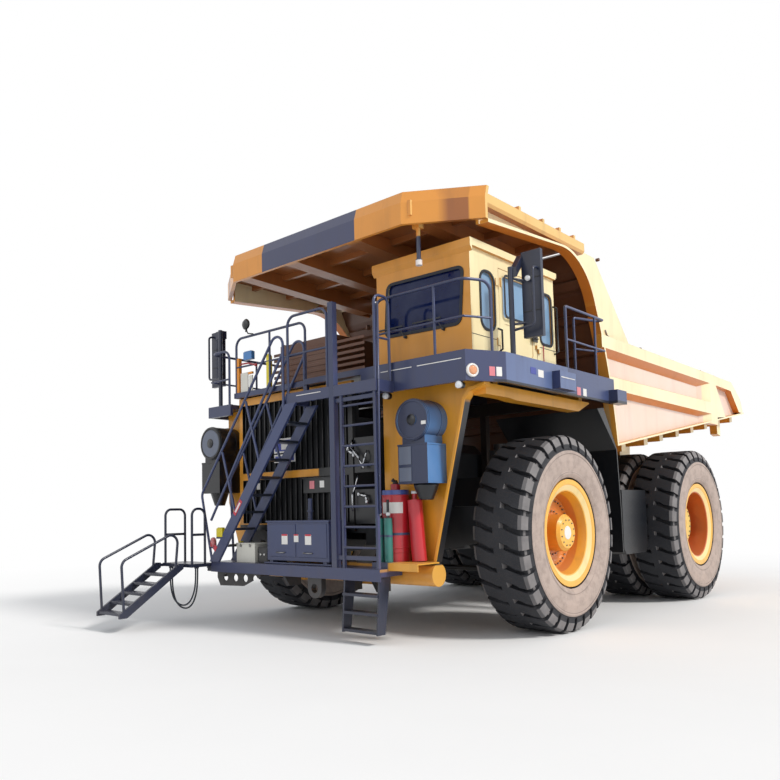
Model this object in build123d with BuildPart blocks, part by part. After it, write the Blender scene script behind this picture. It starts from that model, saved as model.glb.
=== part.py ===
"""Rigid mining dump truck: chassis, deck, cab, access stairs and tipping bed.

Millimetres. X runs forward, Y to the truck's left, Z up. The origin lies on the
ground under the middle of the truck's overall length and width.
"""
import os
from math import pi, radians, sqrt, tan

from build123d import *

os.makedirs("parts", exist_ok=True)

# ---------------------------------------------------------------- driving dimensions
# wheels and axles
front_axle_x = 2562
wheelbase = 5490
rear_axle_x = front_axle_x - wheelbase
tyre_radius = 1510
tyre_width = 930
rim_radius = 820
bead_half = 330
front_wheel_y = 2578
rear_outer_y = 2635
dual_spacing = 1050
hub_bore = 200
rear_bore = 300
running_gap = 0.3
seat = 0.5

# frame
rail_inner_y = 560
rail_outer_y = 880
bumper_tube_x = front_axle_x + 2050
bumper_tube_z = 970
bumper_tube_radius = 165
bumper_tube_half = 1970
kingpin_y = 1800
strut_radius = 190
strut_foot_z = 1720
steer_arm = 450
tie_rod_z = 870

# bed pivot and hoists
pivot_x = rear_axle_x - 1410
pivot_z = 2500
pivot_pin_radius = 110
hoist_y = 1060
hoist_foot_x = front_axle_x - 3500
hoist_foot_z = 1150
hoist_eye_x = front_axle_x - 3400
hoist_eye_z = 2950
hoist_pin_radius = 60

# deck, landing, lower platform
deck_top = 4080
deck_plate = 80
deck_beam = 180
deck_front_x = front_axle_x + 2338
deck_rear_x = front_axle_x - 1290
deck_tail_x = front_axle_x - 1770
deck_recess = 88
deck_half = 3000
fascia_bottom = 3650
centre_fascia_bottom = 3985
right_wing_y = -2350
right_wing_top = 3880
landing_front_x = front_axle_x + 2735
landing_top = 3800
landing_right_y = -450
landing_left_y = 1450
platform_front_x = front_axle_x + 2735
platform_rear_x = bumper_tube_x + 190 + seat
platform_top = 1070
platform_thickness = 110
platform_right_y = -2430
platform_left_y = 1450
shelf_top = 1156

# cab
cab_front_x = front_axle_x + 1955
cab_rear_x = front_axle_x - 510
cab_left_y = 2590
cab_right_y = 855
cab_roof = 5700
cab_wall = 70
door_rear_x = front_axle_x + 100
door_front_x = front_axle_x + 1200
door_bottom = 4150
door_top = 5490
door_gap = 8

# bed
bed_half = 2880
side_inner_y = 2700
side_panel = 45
floor_front_x = front_axle_x - 2100
floor_front_z = 2957
floor_rear_x = front_axle_x - 9550
floor_rear_z = 4110
floor_plate = 60
lip_front_x = front_axle_x + 2620
lip_corner_x = front_axle_x + 1950
lip_corner_y = 1894
lip_bottom = 5980
lip_bend = 6300
lip_top = 6470
lip_setback = 55
canopy_sheet = 50
arch_front_z = 5933
arch_crown = (front_axle_x - 300, 6110)
arch_shoulder = (front_axle_x - 1450, 5350)
flange_thick = 40

# rails
rail_height = 1000
rail_middle = 470
rail_radius = 22
middle_radius = 17
post_radius = 20

# boarding stairs at the right front corner
boarding_top_x = front_axle_x + 3215
boarding_y = -2980
boarding_width = 640
boarding_run = 1150
boarding_drop = 760

# the two hoses that hang under the boarding landing, from gland to gland
hose_radius = 14
gland_radius = 24
gland_length = 30
hose_top = 955
hose_routes = {
    "stair_hose_outer": [
        (front_axle_x + 3050, -3150, hose_top), (front_axle_x + 3050, -3150, 780),
        (front_axle_x + 3046, -3136, 560), (front_axle_x + 3030, -3078, 370),
        (front_axle_x + 3000, -2967, 265),
        (front_axle_x + 2963, -2832, 245), (front_axle_x + 2932, -2716, 320),
        (front_axle_x + 2911, -2639, 480),
        (front_axle_x + 2903, -2610, 640), (front_axle_x + 2900, -2600, 800),
        (front_axle_x + 2900, -2600, hose_top)],
    "stair_hose_inner": [
        (front_axle_x + 3105, -3132, hose_top), (front_axle_x + 3105, -3132, 800),
        (front_axle_x + 3102, -3114, 590), (front_axle_x + 3086, -3055, 415),
        (front_axle_x + 3053, -2945, 320),
        (front_axle_x + 3015, -2813, 305), (front_axle_x + 2984, -2700, 380),
        (front_axle_x + 2964, -2624, 530),
        (front_axle_x + 2957, -2592, 670), (front_axle_x + 2955, -2583, 815),
        (front_axle_x + 2955, -2583, hose_top)],
}
hose_ends = [route[end][:2] for route in hose_routes.values() for end in (0, -1)]


# ---------------------------------------------------------------- shape helpers
def outline_face(plane, outline, corner, inset):
    """Face inside a closed outline, its corners rounded, drawn in by inset."""
    with BuildSketch(plane) as face:
        with BuildLine():
            Polyline(*outline, close=True)
        make_face()
        if corner:
            fillet(face.vertices(), corner)
        if inset:
            offset(amount=-inset, kind=Kind.INTERSECTION, mode=Mode.REPLACE)
    return face.sketch


def side_plate(outline, y_low, y_high, mode=Mode.ADD, corner=0, inset=0):
    """Outline given in X and Z, solid from y_low to y_high."""
    face = outline_face(Plane((0, y_high, 0), x_dir=(1, 0, 0), z_dir=(0, -1, 0)), outline, corner, inset)
    extrude(face, amount=y_high - y_low, mode=mode)


def cross_plate(outline, x_low, x_high, mode=Mode.ADD, corner=0, inset=0):
    """Outline given in Y and Z, solid from x_low to x_high."""
    extrude(outline_face(Plane.YZ.offset(x_low), outline, corner, inset), amount=x_high - x_low, mode=mode)


def flat_plate(outline, z_low, z_high, mode=Mode.ADD):
    """Outline given in X and Y, solid from z_low to z_high."""
    with BuildSketch(Plane.XY.offset(z_low)) as face:
        with BuildLine():
            Polyline(*outline, close=True)
        make_face()
    extrude(face.sketch, amount=z_high - z_low, mode=mode)


def block(x_low, x_high, y_low, y_high, z_low, z_high, mode=Mode.ADD):
    """Rectangular stretch between two corners."""
    with Locations(((x_low + x_high) / 2, (y_low + y_high) / 2, (z_low + z_high) / 2)):
        Box(x_high - x_low, y_high - y_low, z_high - z_low, mode=mode)


def bar(start, end, radius, mode=Mode.ADD):
    """Round bar from one point to another."""
    run = Vector(*end) - Vector(*start)
    with BuildSketch(Plane(start, z_dir=run)) as section:
        Circle(radius)
    extrude(section.sketch, amount=run.length, mode=mode)


def pipe(points, radius, bend):
    """Bent round tube through the points, every corner at the same bend radius."""
    with BuildLine() as route:
        FilletPolyline(*points, radius=bend)
    with BuildSketch(Plane(route.line @ 0, z_dir=route.line % 0)) as section:
        Circle(radius)
    sweep(section.sketch, path=route.line)


def guard_rail(plan, foot_z, posts=(), height=rail_height, middle=rail_middle, bend=160):
    """Hoop rail along a plan line, with a middle rail and posts at (x, y)."""
    first, last = plan[0], plan[-1]
    top = [(x, y, foot_z + height) for x, y in plan]
    pipe([(*first, foot_z), *top, (*last, foot_z)], rail_radius, bend)
    for (xa, ya), (xb, yb) in zip(plan, plan[1:]):
        bar((xa, ya, foot_z + middle), (xb, yb, foot_z + middle), middle_radius)
    for x, y in posts:
        bar((x, y, foot_z), (x, y, foot_z + height), post_radius)


def finish_part(part, name):
    """Label a finished sub-part and write it."""
    part.label = name
    export_step(part, f"parts/{name}.step")


def wheel_plane(x, y):
    """Section plane of a wheel: local X across the truck, local Y up from the hub."""
    return Plane((x, y, tyre_radius), x_dir=(0, 1, 0), z_dir=(1, 0, 0))


def wheel_axis(x, y):
    """Spin axis of a wheel."""
    return Axis((x, y, tyre_radius), (0, 1, 0))


def tyre(x, y):
    """Solid tyre: bead, bulged side walls and a broad tread."""
    bulge = tyre_width / 2
    bead_r = rim_radius - 130 + running_gap
    with BuildSketch(wheel_plane(x, y)) as section:
        with BuildLine():
            Polyline((-bead_half, rim_radius + 20), (-bead_half, bead_r), (bead_half, bead_r),
                     (bead_half, rim_radius + 20))
            ThreePointArc((bead_half, rim_radius + 20), (bulge, 1120), (bulge - 45, tyre_radius - 120))
            Polyline((bulge - 45, tyre_radius - 120), (bulge - 95, tyre_radius),
                     (95 - bulge, tyre_radius), (45 - bulge, tyre_radius - 120))
            ThreePointArc((45 - bulge, tyre_radius - 120), (-bulge, 1120), (-bead_half, rim_radius + 20))
        make_face()
    revolve(section.sketch, axis=wheel_axis(x, y))


# ---------------------------------------------------------------- wheels
with BuildPart() as tyre_front_left:
    tyre(front_axle_x, front_wheel_y)
finish_part(tyre_front_left.part, "tyre_front_left")

with BuildPart() as tyre_front_right:
    mirror(tyre_front_left.part, about=Plane.XZ)
finish_part(tyre_front_right.part, "tyre_front_right")

with BuildPart() as tyres_rear_left:
    for twin in (0, 1):
        tyre(rear_axle_x, rear_outer_y - twin * dual_spacing)
finish_part(tyres_rear_left.part, "tyres_rear_left")

with BuildPart() as tyres_rear_right:
    mirror(tyres_rear_left.part, about=Plane.XZ)
finish_part(tyres_rear_right.part, "tyres_rear_right")

rim_edge = bead_half + 70
barrel_r = rim_radius - 130

with BuildPart() as rim_front_left:
    with BuildSketch(wheel_plane(front_axle_x, front_wheel_y)) as section:
        with BuildLine():
            Polyline((-rim_edge, barrel_r - 50), (-rim_edge, rim_radius), (-bead_half - 1, rim_radius),
                     (-bead_half - 1, barrel_r), (bead_half + 1, barrel_r), (bead_half + 1, rim_radius),
                     (rim_edge, rim_radius), (rim_edge, rim_radius - 70), (rim_edge - 60, barrel_r - 50),
                     (90, barrel_r - 130), (70, 285), (300, 285), (345, 240), (345, 0), (310, 0),
                     (310, hub_bore + running_gap), (-250, hub_bore + running_gap), (-250, 330), (10, 380),
                     (20, barrel_r - 120), (-40, barrel_r - 50), close=True)
        make_face()
    revolve(section.sketch, axis=wheel_axis(front_axle_x, front_wheel_y))
finish_part(rim_front_left.part, "rim_front_left")

with BuildPart() as rim_front_right:
    mirror(rim_front_left.part, about=Plane.XZ)
finish_part(rim_front_right.part, "rim_front_right")

with BuildPart() as rims_rear_left:
    inner = -dual_spacing
    with BuildSketch(wheel_plane(rear_axle_x, rear_outer_y)) as section:
        with BuildLine():
            Polyline((inner - rim_edge, barrel_r - 50), (inner - rim_edge, rim_radius),
                     (inner - bead_half - 1, rim_radius), (inner - bead_half - 1, barrel_r),
                     (inner + bead_half + 1, barrel_r), (inner + bead_half + 1, rim_radius),
                     (inner + rim_edge, rim_radius), (inner + rim_edge, barrel_r), (-rim_edge, barrel_r),
                     (-rim_edge, rim_radius), (-bead_half - 1, rim_radius), (-bead_half - 1, barrel_r),
                     (bead_half + 1, barrel_r), (bead_half + 1, rim_radius), (rim_edge, rim_radius),
                     (rim_edge, rim_radius - 70), (rim_edge - 60, barrel_r - 50), (-60, barrel_r - 60),
                     (-90, 470), (60, 440), (90, 400), (90, 0), (30, 0), (30, rear_bore + running_gap),
                     (-700, rear_bore + running_gap), (-700, 440), (-190, 470),
                     (-160, barrel_r - 50), close=True)
        make_face()
    revolve(section.sketch, axis=wheel_axis(rear_axle_x, rear_outer_y))
finish_part(rims_rear_left.part, "rims_rear_left")

with BuildPart() as rims_rear_right:
    mirror(rims_rear_left.part, about=Plane.XZ)
finish_part(rims_rear_right.part, "rims_rear_right")

# ---------------------------------------------------------------- frame
rail_outline = [
    (bumper_tube_x + 190, 800), (bumper_tube_x + 190, 1160), (front_axle_x + 1850, 1600),
    (front_axle_x + 900, 2000), (front_axle_x - 1500, 2240), (rear_axle_x - 900, 2640),
    (pivot_x - 160, pivot_z + 190), (pivot_x - 250, pivot_z), (pivot_x - 120, pivot_z - 200),
    (rear_axle_x - 900, 2080), (rear_axle_x + 700, 2000), (rear_axle_x + 1450, 1350),
    (front_axle_x - 1000, 1300), (front_axle_x + 1300, 1200), (front_axle_x + 1850, 800),
]



def rail_top(x):
    """Height of a frame rail's upper edge at a given X."""
    for (x1, z1), (x0, z0) in zip(rail_outline[1:], rail_outline[2:]):
        if x0 <= x <= x1:
            return z0 + (z1 - z0) * (x - x0) / (x1 - x0)
    return 0


with BuildPart() as main_frame:
    for side in (-1, 1):
        side_plate(rail_outline, min(side * rail_inner_y, side * rail_outer_y),
                   max(side * rail_inner_y, side * rail_outer_y))
        # strut carrier with a saddle round the strut
        y_a, y_b = sorted((side * rail_outer_y, side * kingpin_y))
        block(front_axle_x - 230, front_axle_x + 230, y_a, y_b, 1950, 2420)
        # hoist foot pin
        bar((hoist_foot_x, side * (rail_outer_y - 20), hoist_foot_z),
            (hoist_foot_x, side * 1240, hoist_foot_z),
            hoist_pin_radius)
        side_plate([(hoist_foot_x - 200, 1400), (hoist_foot_x + 200, 1400), (hoist_foot_x + 90, 1040),
                    (hoist_foot_x - 90, 1040)], *sorted((side * (rail_outer_y - 60), side * rail_outer_y)))
        # pads that carry the bed
        for pad_x, pad_top in ((front_axle_x - 2400, 2455), (rear_axle_x + 300, 2965)):
            block(pad_x - 110, pad_x + 110, *sorted((side * 600, side * 840)), pad_top - 500, pad_top)
    bar((bumper_tube_x, -bumper_tube_half, bumper_tube_z), (bumper_tube_x, bumper_tube_half, bumper_tube_z),
        bumper_tube_radius)
    # cross tubes: X, Z, radius
    for tube_x, tube_z, tube_r in ((front_axle_x - 1650, 1700, 170), (rear_axle_x + 1650, 1620, 170),
                                   (rear_axle_x - 700, 2360, 150)):
        bar((tube_x, -rail_inner_y - 40, tube_z), (tube_x, rail_inner_y + 40, tube_z), tube_r)
    # the struts' seats and the bed pin's bore
    for side in (-1, 1):
        with Locations((front_axle_x, side * kingpin_y, 2200)):
            Cylinder(strut_radius + running_gap, 700, mode=Mode.SUBTRACT)
    with Locations(Location((pivot_x, 0, pivot_z), (90, 0, 0))):
        Cylinder(pivot_pin_radius + running_gap, 2 * rail_outer_y + 40, mode=Mode.SUBTRACT)
finish_part(main_frame.part, "main_frame")

with BuildPart() as front_struts:
    for side in (-1, 1):
        foot = (front_axle_x, side * kingpin_y)
        bar((*foot, strut_foot_z), (*foot, 2850), strut_radius)
        bar((*foot, 2850), (*foot, 2960), strut_radius * 0.6)
finish_part(front_struts.part, "front_struts")

with BuildPart() as knuckle_left:
    bar((front_axle_x, kingpin_y, 1620), (front_axle_x, kingpin_y, strut_foot_z - running_gap), 140)
    bar((front_axle_x, kingpin_y, 1180), (front_axle_x, kingpin_y, 1640), 240)
    bar((front_axle_x, kingpin_y, 930), (front_axle_x, kingpin_y, 1200), 150)
    bar((front_axle_x, kingpin_y + 100, tyre_radius), (front_axle_x, front_wheel_y + 308, tyre_radius),
        hub_bore)
    flat_plate([(front_axle_x + 120, kingpin_y - 120), (front_axle_x + 120, kingpin_y + 120),
                (front_axle_x - steer_arm, kingpin_y + 80), (front_axle_x - steer_arm - 75, kingpin_y),
                (front_axle_x - steer_arm, kingpin_y - 80)], 930, 1010)
    with Locations((front_axle_x - steer_arm, kingpin_y, 970)):
        Cylinder(40 + running_gap, 100, mode=Mode.SUBTRACT)
finish_part(knuckle_left.part, "knuckle_left")

with BuildPart() as knuckle_right:
    mirror(knuckle_left.part, about=Plane.XZ)
finish_part(knuckle_right.part, "knuckle_right")

with BuildPart() as tie_rod:
    rod_x = front_axle_x - steer_arm
    bar((rod_x, -kingpin_y, tie_rod_z), (rod_x, kingpin_y, tie_rod_z), 45)
    for side in (-1, 1):
        bar((rod_x, side * kingpin_y, 810), (rod_x, side * kingpin_y, 930 - running_gap), 70)
        bar((rod_x, side * kingpin_y, 900), (rod_x, side * kingpin_y, 1020), 40)
finish_part(tie_rod.part, "tie_rod")

with BuildPart() as rear_axle:
    bar((rear_axle_x, -1060, tyre_radius), (rear_axle_x, 1060, tyre_radius), 440)
    bar((rear_axle_x, -rear_outer_y - 28, tyre_radius), (rear_axle_x, rear_outer_y + 28, tyre_radius),
        rear_bore)
    with Locations((rear_axle_x, 0, tyre_radius)):
        Sphere(520)
    # nose of the axle, out to the frame's cross tube
    nose_x = rear_axle_x + 1480 - seat
    flat_plate([(rear_axle_x, -400), (nose_x, -160), (nose_x, 160), (rear_axle_x, 400)],
               1380, 1640)
finish_part(rear_axle.part, "rear_axle")

with BuildPart() as rear_struts:
    for side in (-1, 1):
        bar((rear_axle_x - 250, side * 330, 2010), (rear_axle_x - 611, side * 330, 2210), 70)
        bar((rear_axle_x - 201.3, side * 330, 1963), (rear_axle_x - 460, side * 330, 2106), 105)
finish_part(rear_struts.part, "rear_struts")

with BuildPart() as engine_block:
    cross_plate([(-520, 1420), (520, 1420), (520, 2300), (700, 2300), (700, 2900), (520, 3080), (-520, 3080),
                 (-700, 2900), (-700, 2300), (-520, 2300)], front_axle_x - 1200, front_axle_x + 1250)
    # feet on the frame rails
    for side in (-1, 1):
        for x in (front_axle_x - 950, front_axle_x + 550):
            side_plate([(x, rail_top(x) + seat), (x + 250, rail_top(x + 250) + seat), (x + 250, 2310),
                        (x, 2310)],
                       *sorted((side * 590, side * 700)))
finish_part(engine_block.part, "engine_block")

radiator_right_y, radiator_left_y = -2350, 400
radiator_back_x, radiator_front_x = front_axle_x + 1930, front_axle_x + 2050
radiator_top = deck_top - deck_plate - deck_beam - seat
with BuildPart() as radiator:
    block(radiator_back_x, radiator_front_x, radiator_right_y, radiator_left_y, 1640, radiator_top)
    block(front_axle_x + 1300, radiator_back_x, -740, radiator_left_y, 1900, 3400)
    # sill that stands on both frame rails
    block(radiator_back_x, radiator_front_x, -rail_outer_y, rail_outer_y, 1560, 1650)
    for side in (-1, 1):
        side_plate([(radiator_back_x, rail_top(radiator_back_x) + seat),
                    (radiator_front_x, rail_top(radiator_front_x) + seat),
                    (radiator_front_x, 1570), (radiator_back_x, 1570)], *sorted((side * 600, side * 840)))
finish_part(radiator.part, "radiator")

with BuildPart() as grille:
    # yellow surround: sides, bottom bar, middle bar, top band
    face_x = radiator_front_x + running_gap
    outer = [(radiator_right_y - 20, 1600), (radiator_left_y + 20, 1600), (radiator_left_y + 20, 3980),
             (radiator_right_y - 20, 3980)]
    cross_plate(outer, face_x, face_x + 66)
    for low, high in ((1720, 2480), (2620, 3840)):
        block(face_x - 5, face_x + 80, radiator_right_y + 75, radiator_left_y - 75, low, high,
              mode=Mode.SUBTRACT)
        span = radiator_left_y - radiator_right_y - 150
        for i in range(20):
            y = radiator_right_y + 75 + span * (i + 0.5) / 20
            block(face_x + 10, face_x + 50, y - 9, y + 9, low - 5, high + 5)
finish_part(grille.part, "grille")

with BuildPart() as fuel_tank:
    side_plate([(front_axle_x - 3850, 1120), (front_axle_x - 3850, 2200), (front_axle_x - 2760, 2200),
                (front_axle_x - 2760, 1120), (front_axle_x - 2860, 1020), (front_axle_x - 3750, 1020)], 1260,
                2620)
    for strap_x in (front_axle_x - 3230, front_axle_x - 2860):
        block(strap_x, strap_x + 60, rail_outer_y + seat, 1262, 1400, 1700)
finish_part(fuel_tank.part, "fuel_tank")

with BuildPart() as hydraulic_tank:
    mirror(fuel_tank.part, about=Plane.XZ)
finish_part(hydraulic_tank.part, "hydraulic_tank")

# ---------------------------------------------------------------- front platform and access
tow_eye_x = front_axle_x + 2500
tow_eye_z = 720
skirt = 18
tow_eye_outer, tow_eye_bore, tow_eye_thick = 150, 70, 100
bracket_x = front_axle_x + 2590
bracket_holes = (-2180, -1910, -1650, -1400)
bracket_hole_r = 62
wall_back_x = front_axle_x + 1905
wall_front_x = wall_back_x + 40
with BuildPart() as front_platform:
    block(platform_rear_x, platform_front_x, platform_right_y, platform_left_y,
          platform_top - platform_thickness, platform_top)
    # shelf for the fire tanks, left of the ladder
    block(wall_front_x + 5, front_axle_x + 2560, platform_left_y - 300, 1840, shelf_top - 20, shelf_top)
    block(wall_front_x + 105, front_axle_x + 2560, 1830, 1980, shelf_top - 20, shelf_top)
    block(platform_rear_x, front_axle_x + 2560, platform_left_y - 300, platform_left_y, platform_top - 10,
          shelf_top)
    block(front_axle_x + 2540, front_axle_x + 2560, platform_left_y - 300, 1980, shelf_top - 110, shelf_top)
    # brackets beside the bumper tube, and the tow eye
    for y in (-700, 640, 1200):
        side_plate([(platform_rear_x, platform_top - 60), (platform_front_x - 40, platform_top - 60),
                    (platform_front_x - 240, 720), (platform_rear_x, 720)], y - 30, y + 30)
    with BuildSketch(Plane.YZ.offset(tow_eye_x)) as eye:
        with Locations((0, tow_eye_z)):
            Circle(tow_eye_outer)
        with Locations((0, (tow_eye_z + platform_top - 60) / 2)):
            Rectangle(2 * tow_eye_outer, platform_top - 60 - tow_eye_z)
        with Locations((0, tow_eye_z)):
            Circle(tow_eye_bore, mode=Mode.SUBTRACT)
    extrude(eye.sketch, amount=tow_eye_thick)
    # skirt along the front edge, deeper than the plate
    block(platform_front_x - skirt, platform_front_x, platform_right_y, platform_left_y, platform_top - 175,
          platform_top)
    # perforated bracket under the right end, hung from the plate
    with BuildSketch(Plane.YZ.offset(bracket_x)) as bracket:
        with BuildLine():
            Polyline((-2410, platform_top - 60), (-2410, 790), (-2330, 650), (-1700, 670), (-1260, 850),
                     (-1260, platform_top - 60), close=True)
        make_face()
        with Locations(*[(y, 800) for y in bracket_holes]):
            Circle(bracket_hole_r, mode=Mode.SUBTRACT)
    extrude(bracket.sketch, amount=20)
    block(platform_rear_x, bracket_x + 10, -1290, -1260, 850, platform_top - 60)
    block(platform_rear_x, bracket_x + 10, -2410, -2380, 790, platform_top - 60)
finish_part(front_platform.part, "front_platform")

stair_inner_x = deck_front_x - deck_recess + 7
stair_outer_x = front_axle_x + 2735
stair_foot_y, stair_foot_z = -2330, platform_top + seat
stair_head_y, stair_head_z = -330, landing_top - 170 - seat
rail_end_y = landing_right_y - 30
stair_treads = 8
with BuildPart() as diagonal_stairs:
    rise = stair_head_z - stair_foot_z
    run = stair_head_y - stair_foot_y
    for low in (stair_inner_x, stair_outer_x):
        cross_plate([(stair_foot_y - 90, stair_foot_z), (stair_foot_y + 160, stair_foot_z),
                     (stair_head_y + 150, stair_head_z), (stair_head_y - 90, stair_head_z)], low, low + 45)
    for step in range(1, stair_treads + 1):
        part_way = step / (stair_treads + 1)
        y = stair_foot_y + 35 + run * part_way
        z = stair_foot_z + rise * part_way
        block(stair_inner_x + 30, stair_outer_x + 15, y - 120, y + 120, z - 25, z + 15)
    # handrails: foot, knee, along the slope, down to the head; the inner one starts steeper
    slope = rise / run
    for rail_x, knee_y in ((stair_inner_x + 22, stair_foot_y - 110),
                           (stair_outer_x + 22, stair_foot_y - 330)):
        knee_z = stair_foot_z + 1180 + (knee_y - stair_foot_y + 330) * slope
        end_z = knee_z + (rail_end_y - knee_y) * slope
        pipe([(rail_x, stair_foot_y - 40, stair_foot_z + 8), (rail_x, knee_y, knee_z),
              (rail_x, rail_end_y, end_z),
              (rail_x, rail_end_y, stair_head_z - 140)], rail_radius, 150)
        bar((rail_x, stair_foot_y - 60, stair_foot_z + 720), (rail_x, rail_end_y, end_z - 560), rail_radius)
        for part_way in (0.3, 0.62):
            y = stair_foot_y + run * part_way
            z = stair_foot_z + rise * part_way
            bar((rail_x, y + 30, z), (rail_x, y - 330, z + 1130), rail_radius)
finish_part(diagonal_stairs.part, "diagonal_stairs")

post_y = 560
post_size = 100
ladder_right_y, ladder_left_y = 740, 1400
with BuildPart() as front_ladder:
    # big corner post
    block(platform_front_x - post_size, platform_front_x, post_y - post_size / 2, post_y + post_size / 2,
          platform_top + seat, landing_top + 1300)
    for y in (ladder_right_y, ladder_left_y):
        block(platform_front_x - 60, platform_front_x - 10, y - 20, y + 20, platform_top + seat,
              landing_top - 170 - seat)
    for rung in range(8):
        z = platform_top + 300 + rung * 300
        bar((platform_front_x - 35, ladder_right_y, z), (platform_front_x - 35, ladder_left_y, z), 18)
    for z in (platform_top + 150, landing_top - 230):
        block(platform_front_x - 70, platform_front_x - 30, post_y, ladder_left_y, z - 30, z + 30)
finish_part(front_ladder.part, "front_ladder")

with BuildPart() as hanging_steps:
    for y in (ladder_right_y, ladder_left_y):
        side_plate([(platform_front_x - 260, platform_top - platform_thickness - seat),
                    (platform_front_x - 30, platform_top - platform_thickness - seat),
                    (platform_front_x + 40, 150),
                    (platform_front_x - 130, 150)], y - 15, y + 15)
    for z in (185, 440, 700):
        block(platform_front_x - 150, platform_front_x + 30, ladder_right_y, ladder_left_y, z - 25, z + 15)
finish_part(hanging_steps.part, "hanging_steps")

with BuildPart() as platform_cabinet:
    block(platform_rear_x + 10, platform_front_x - 130, -1080, 330, platform_top + 60, platform_top + 690)
    for y in (-1050, 180):
        block(platform_rear_x + 30, platform_front_x - 150, y, y + 80, platform_top + seat, platform_top + 70)
finish_part(platform_cabinet.part, "platform_cabinet")

with BuildPart() as battery_box:
    block(platform_rear_x + 10, platform_front_x - 130, -1880, -1400, platform_top + seat, platform_top + 310)
finish_part(battery_box.part, "battery_box")

with BuildPart() as fire_tanks:
    # red tank and its leaning partner, then two slim bottles: x, y, radius, top, lean in y
    for x, y, radius, top, lean in ((front_axle_x + 2160, 1300, 205, 2200, 0),
                                    (front_axle_x + 2130, 1690, 110, 2050, -60),
                                    (front_axle_x + 2440, 1215, 62, 1800, 0),
                                    (front_axle_x + 2440, 1375, 62, 1800, 0)):
        bar((x, y, shelf_top + seat + 7 * (lean != 0)), (x, y + lean, top), radius)
        bar((x, y + lean, top - 10), (x, y + lean, top + 90), radius * 0.35)
finish_part(fire_tanks.part, "fire_tanks")


def air_cleaner(y, back_x, face_x):
    """Drum along X over a tapered box with a dust cup below it."""
    drum_z = 3190
    out = 60 if y > 0 else -60
    bar((back_x, y, drum_z), (face_x, y, drum_z), 300)
    bar((face_x - 1, y, drum_z), (face_x + 12, y, drum_z), 85)
    block(back_x, face_x - 30, y - 200, y + 200, 2780, 3000)
    block(back_x, face_x, y - 262, y + 262, 2280, 2840)
    with BuildSketch(Plane.XY.offset(2281)) as rim_face:
        with Locations(((back_x + face_x) / 2, y + out)):
            Circle(170)
    with BuildSketch(Plane.XY.offset(2050)) as cup_face:
        with Locations(((back_x + face_x) / 2, y + out)):
            Circle(95)
    loft([rim_face.sketch.face(), cup_face.sketch.face()])


cleaner_back_x = wall_front_x + seat
with BuildPart() as air_cleaner_left:
    air_cleaner(1820, cleaner_back_x, front_axle_x + 2400)
finish_part(air_cleaner_left.part, "air_cleaner_left")

with BuildPart() as air_cleaner_right:
    air_cleaner(-2800, cleaner_back_x, front_axle_x + 2450)
finish_part(air_cleaner_right.part, "air_cleaner_right")

# ---------------------------------------------------------------- deck and its supports
with BuildPart() as deck:
    recess_x = deck_front_x - deck_recess
    plate_bottom = deck_top - deck_plate
    beam_bottom = plate_bottom - deck_beam
    flat_plate([(recess_x, right_wing_y), (recess_x, landing_right_y), (deck_front_x, landing_right_y),
                (deck_front_x, 2720), (front_axle_x + 1750, deck_half), (deck_tail_x, deck_half),
                (deck_tail_x, deck_half - 80), (deck_rear_x, deck_half - 80), (deck_rear_x, right_wing_y)],
               plate_bottom, deck_top)
    # lower wing on the right, and the riser up to the main deck
    block(deck_rear_x, deck_front_x, -deck_half, right_wing_y - 25, right_wing_top - deck_plate,
          right_wing_top)
    block(deck_rear_x, radiator_back_x - 5, right_wing_y - 30, right_wing_y + 60, right_wing_top - deck_plate,
          right_wing_top)
    block(deck_rear_x, radiator_back_x - 5, right_wing_y, right_wing_y + 60, right_wing_top - 200, deck_top)
    block(radiator_back_x - 10, front_axle_x + 2038, right_wing_y, right_wing_y + 60, beam_bottom, deck_top)
    block(front_axle_x + 2030, recess_x, right_wing_y, right_wing_y + 60, centre_fascia_bottom, deck_top)
    # fascias: left front, chamfered corner, left side; then the shallow centre and the right wing
    flat_plate([(deck_front_x, cab_right_y - 40), (deck_front_x, 2720), (front_axle_x + 1750, deck_half),
                (deck_tail_x, deck_half), (deck_tail_x, deck_half - 60),
                (front_axle_x + 1735, deck_half - 60),
                (deck_front_x - 60, 2682), (deck_front_x - 60, cab_right_y - 40)], fascia_bottom,
                deck_top - 10)
    block(recess_x - 60, recess_x, right_wing_y, landing_right_y, centre_fascia_bottom, deck_top - 10)
    block(deck_front_x - 60, deck_front_x, landing_right_y, cab_right_y, centre_fascia_bottom, deck_top - 10)
    block(deck_front_x - 60, deck_front_x, -deck_half, right_wing_y, right_wing_top - 200, right_wing_top)
    block(deck_rear_x, deck_front_x, -deck_half, -deck_half + 60, right_wing_top - 200, right_wing_top)
    # landing at the head of the stairs, with its frame and the notch for the corner post
    block(deck_front_x - 5, landing_front_x, landing_right_y, landing_left_y, landing_top - 60, landing_top)
    block(landing_front_x - 50, landing_front_x, landing_right_y, landing_left_y, landing_top - 170,
          landing_top)
    block(stair_inner_x, landing_front_x, landing_right_y, landing_right_y + 60, landing_top - 170,
          landing_top)
    block(deck_front_x - 5, landing_front_x, landing_left_y - 60, landing_left_y, landing_top - 170,
          landing_top)
    block(stair_inner_x, stair_inner_x + 60, landing_right_y, landing_right_y + 60, landing_top - 10,
          plate_bottom + 5)
    block(landing_front_x - post_size - seat, landing_front_x + 10, post_y - post_size / 2 - seat,
          post_y + post_size / 2 + seat, landing_top - 180, landing_top + 10, mode=Mode.SUBTRACT)
    # beams under the plate
    for y in (-1900, -700, 700, 1500, 2300):
        block(deck_rear_x, front_axle_x + 2038, y - 60, y + 60, beam_bottom, plate_bottom + 5)
    # step box and lamp box at the left side
    block(front_axle_x - 80, front_axle_x + 430, deck_half - 5, deck_half + 130, 3690, 3960)
    block(deck_tail_x - 150, deck_tail_x + 220, deck_half - 5, deck_half + 150, 3640, 3870)
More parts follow.
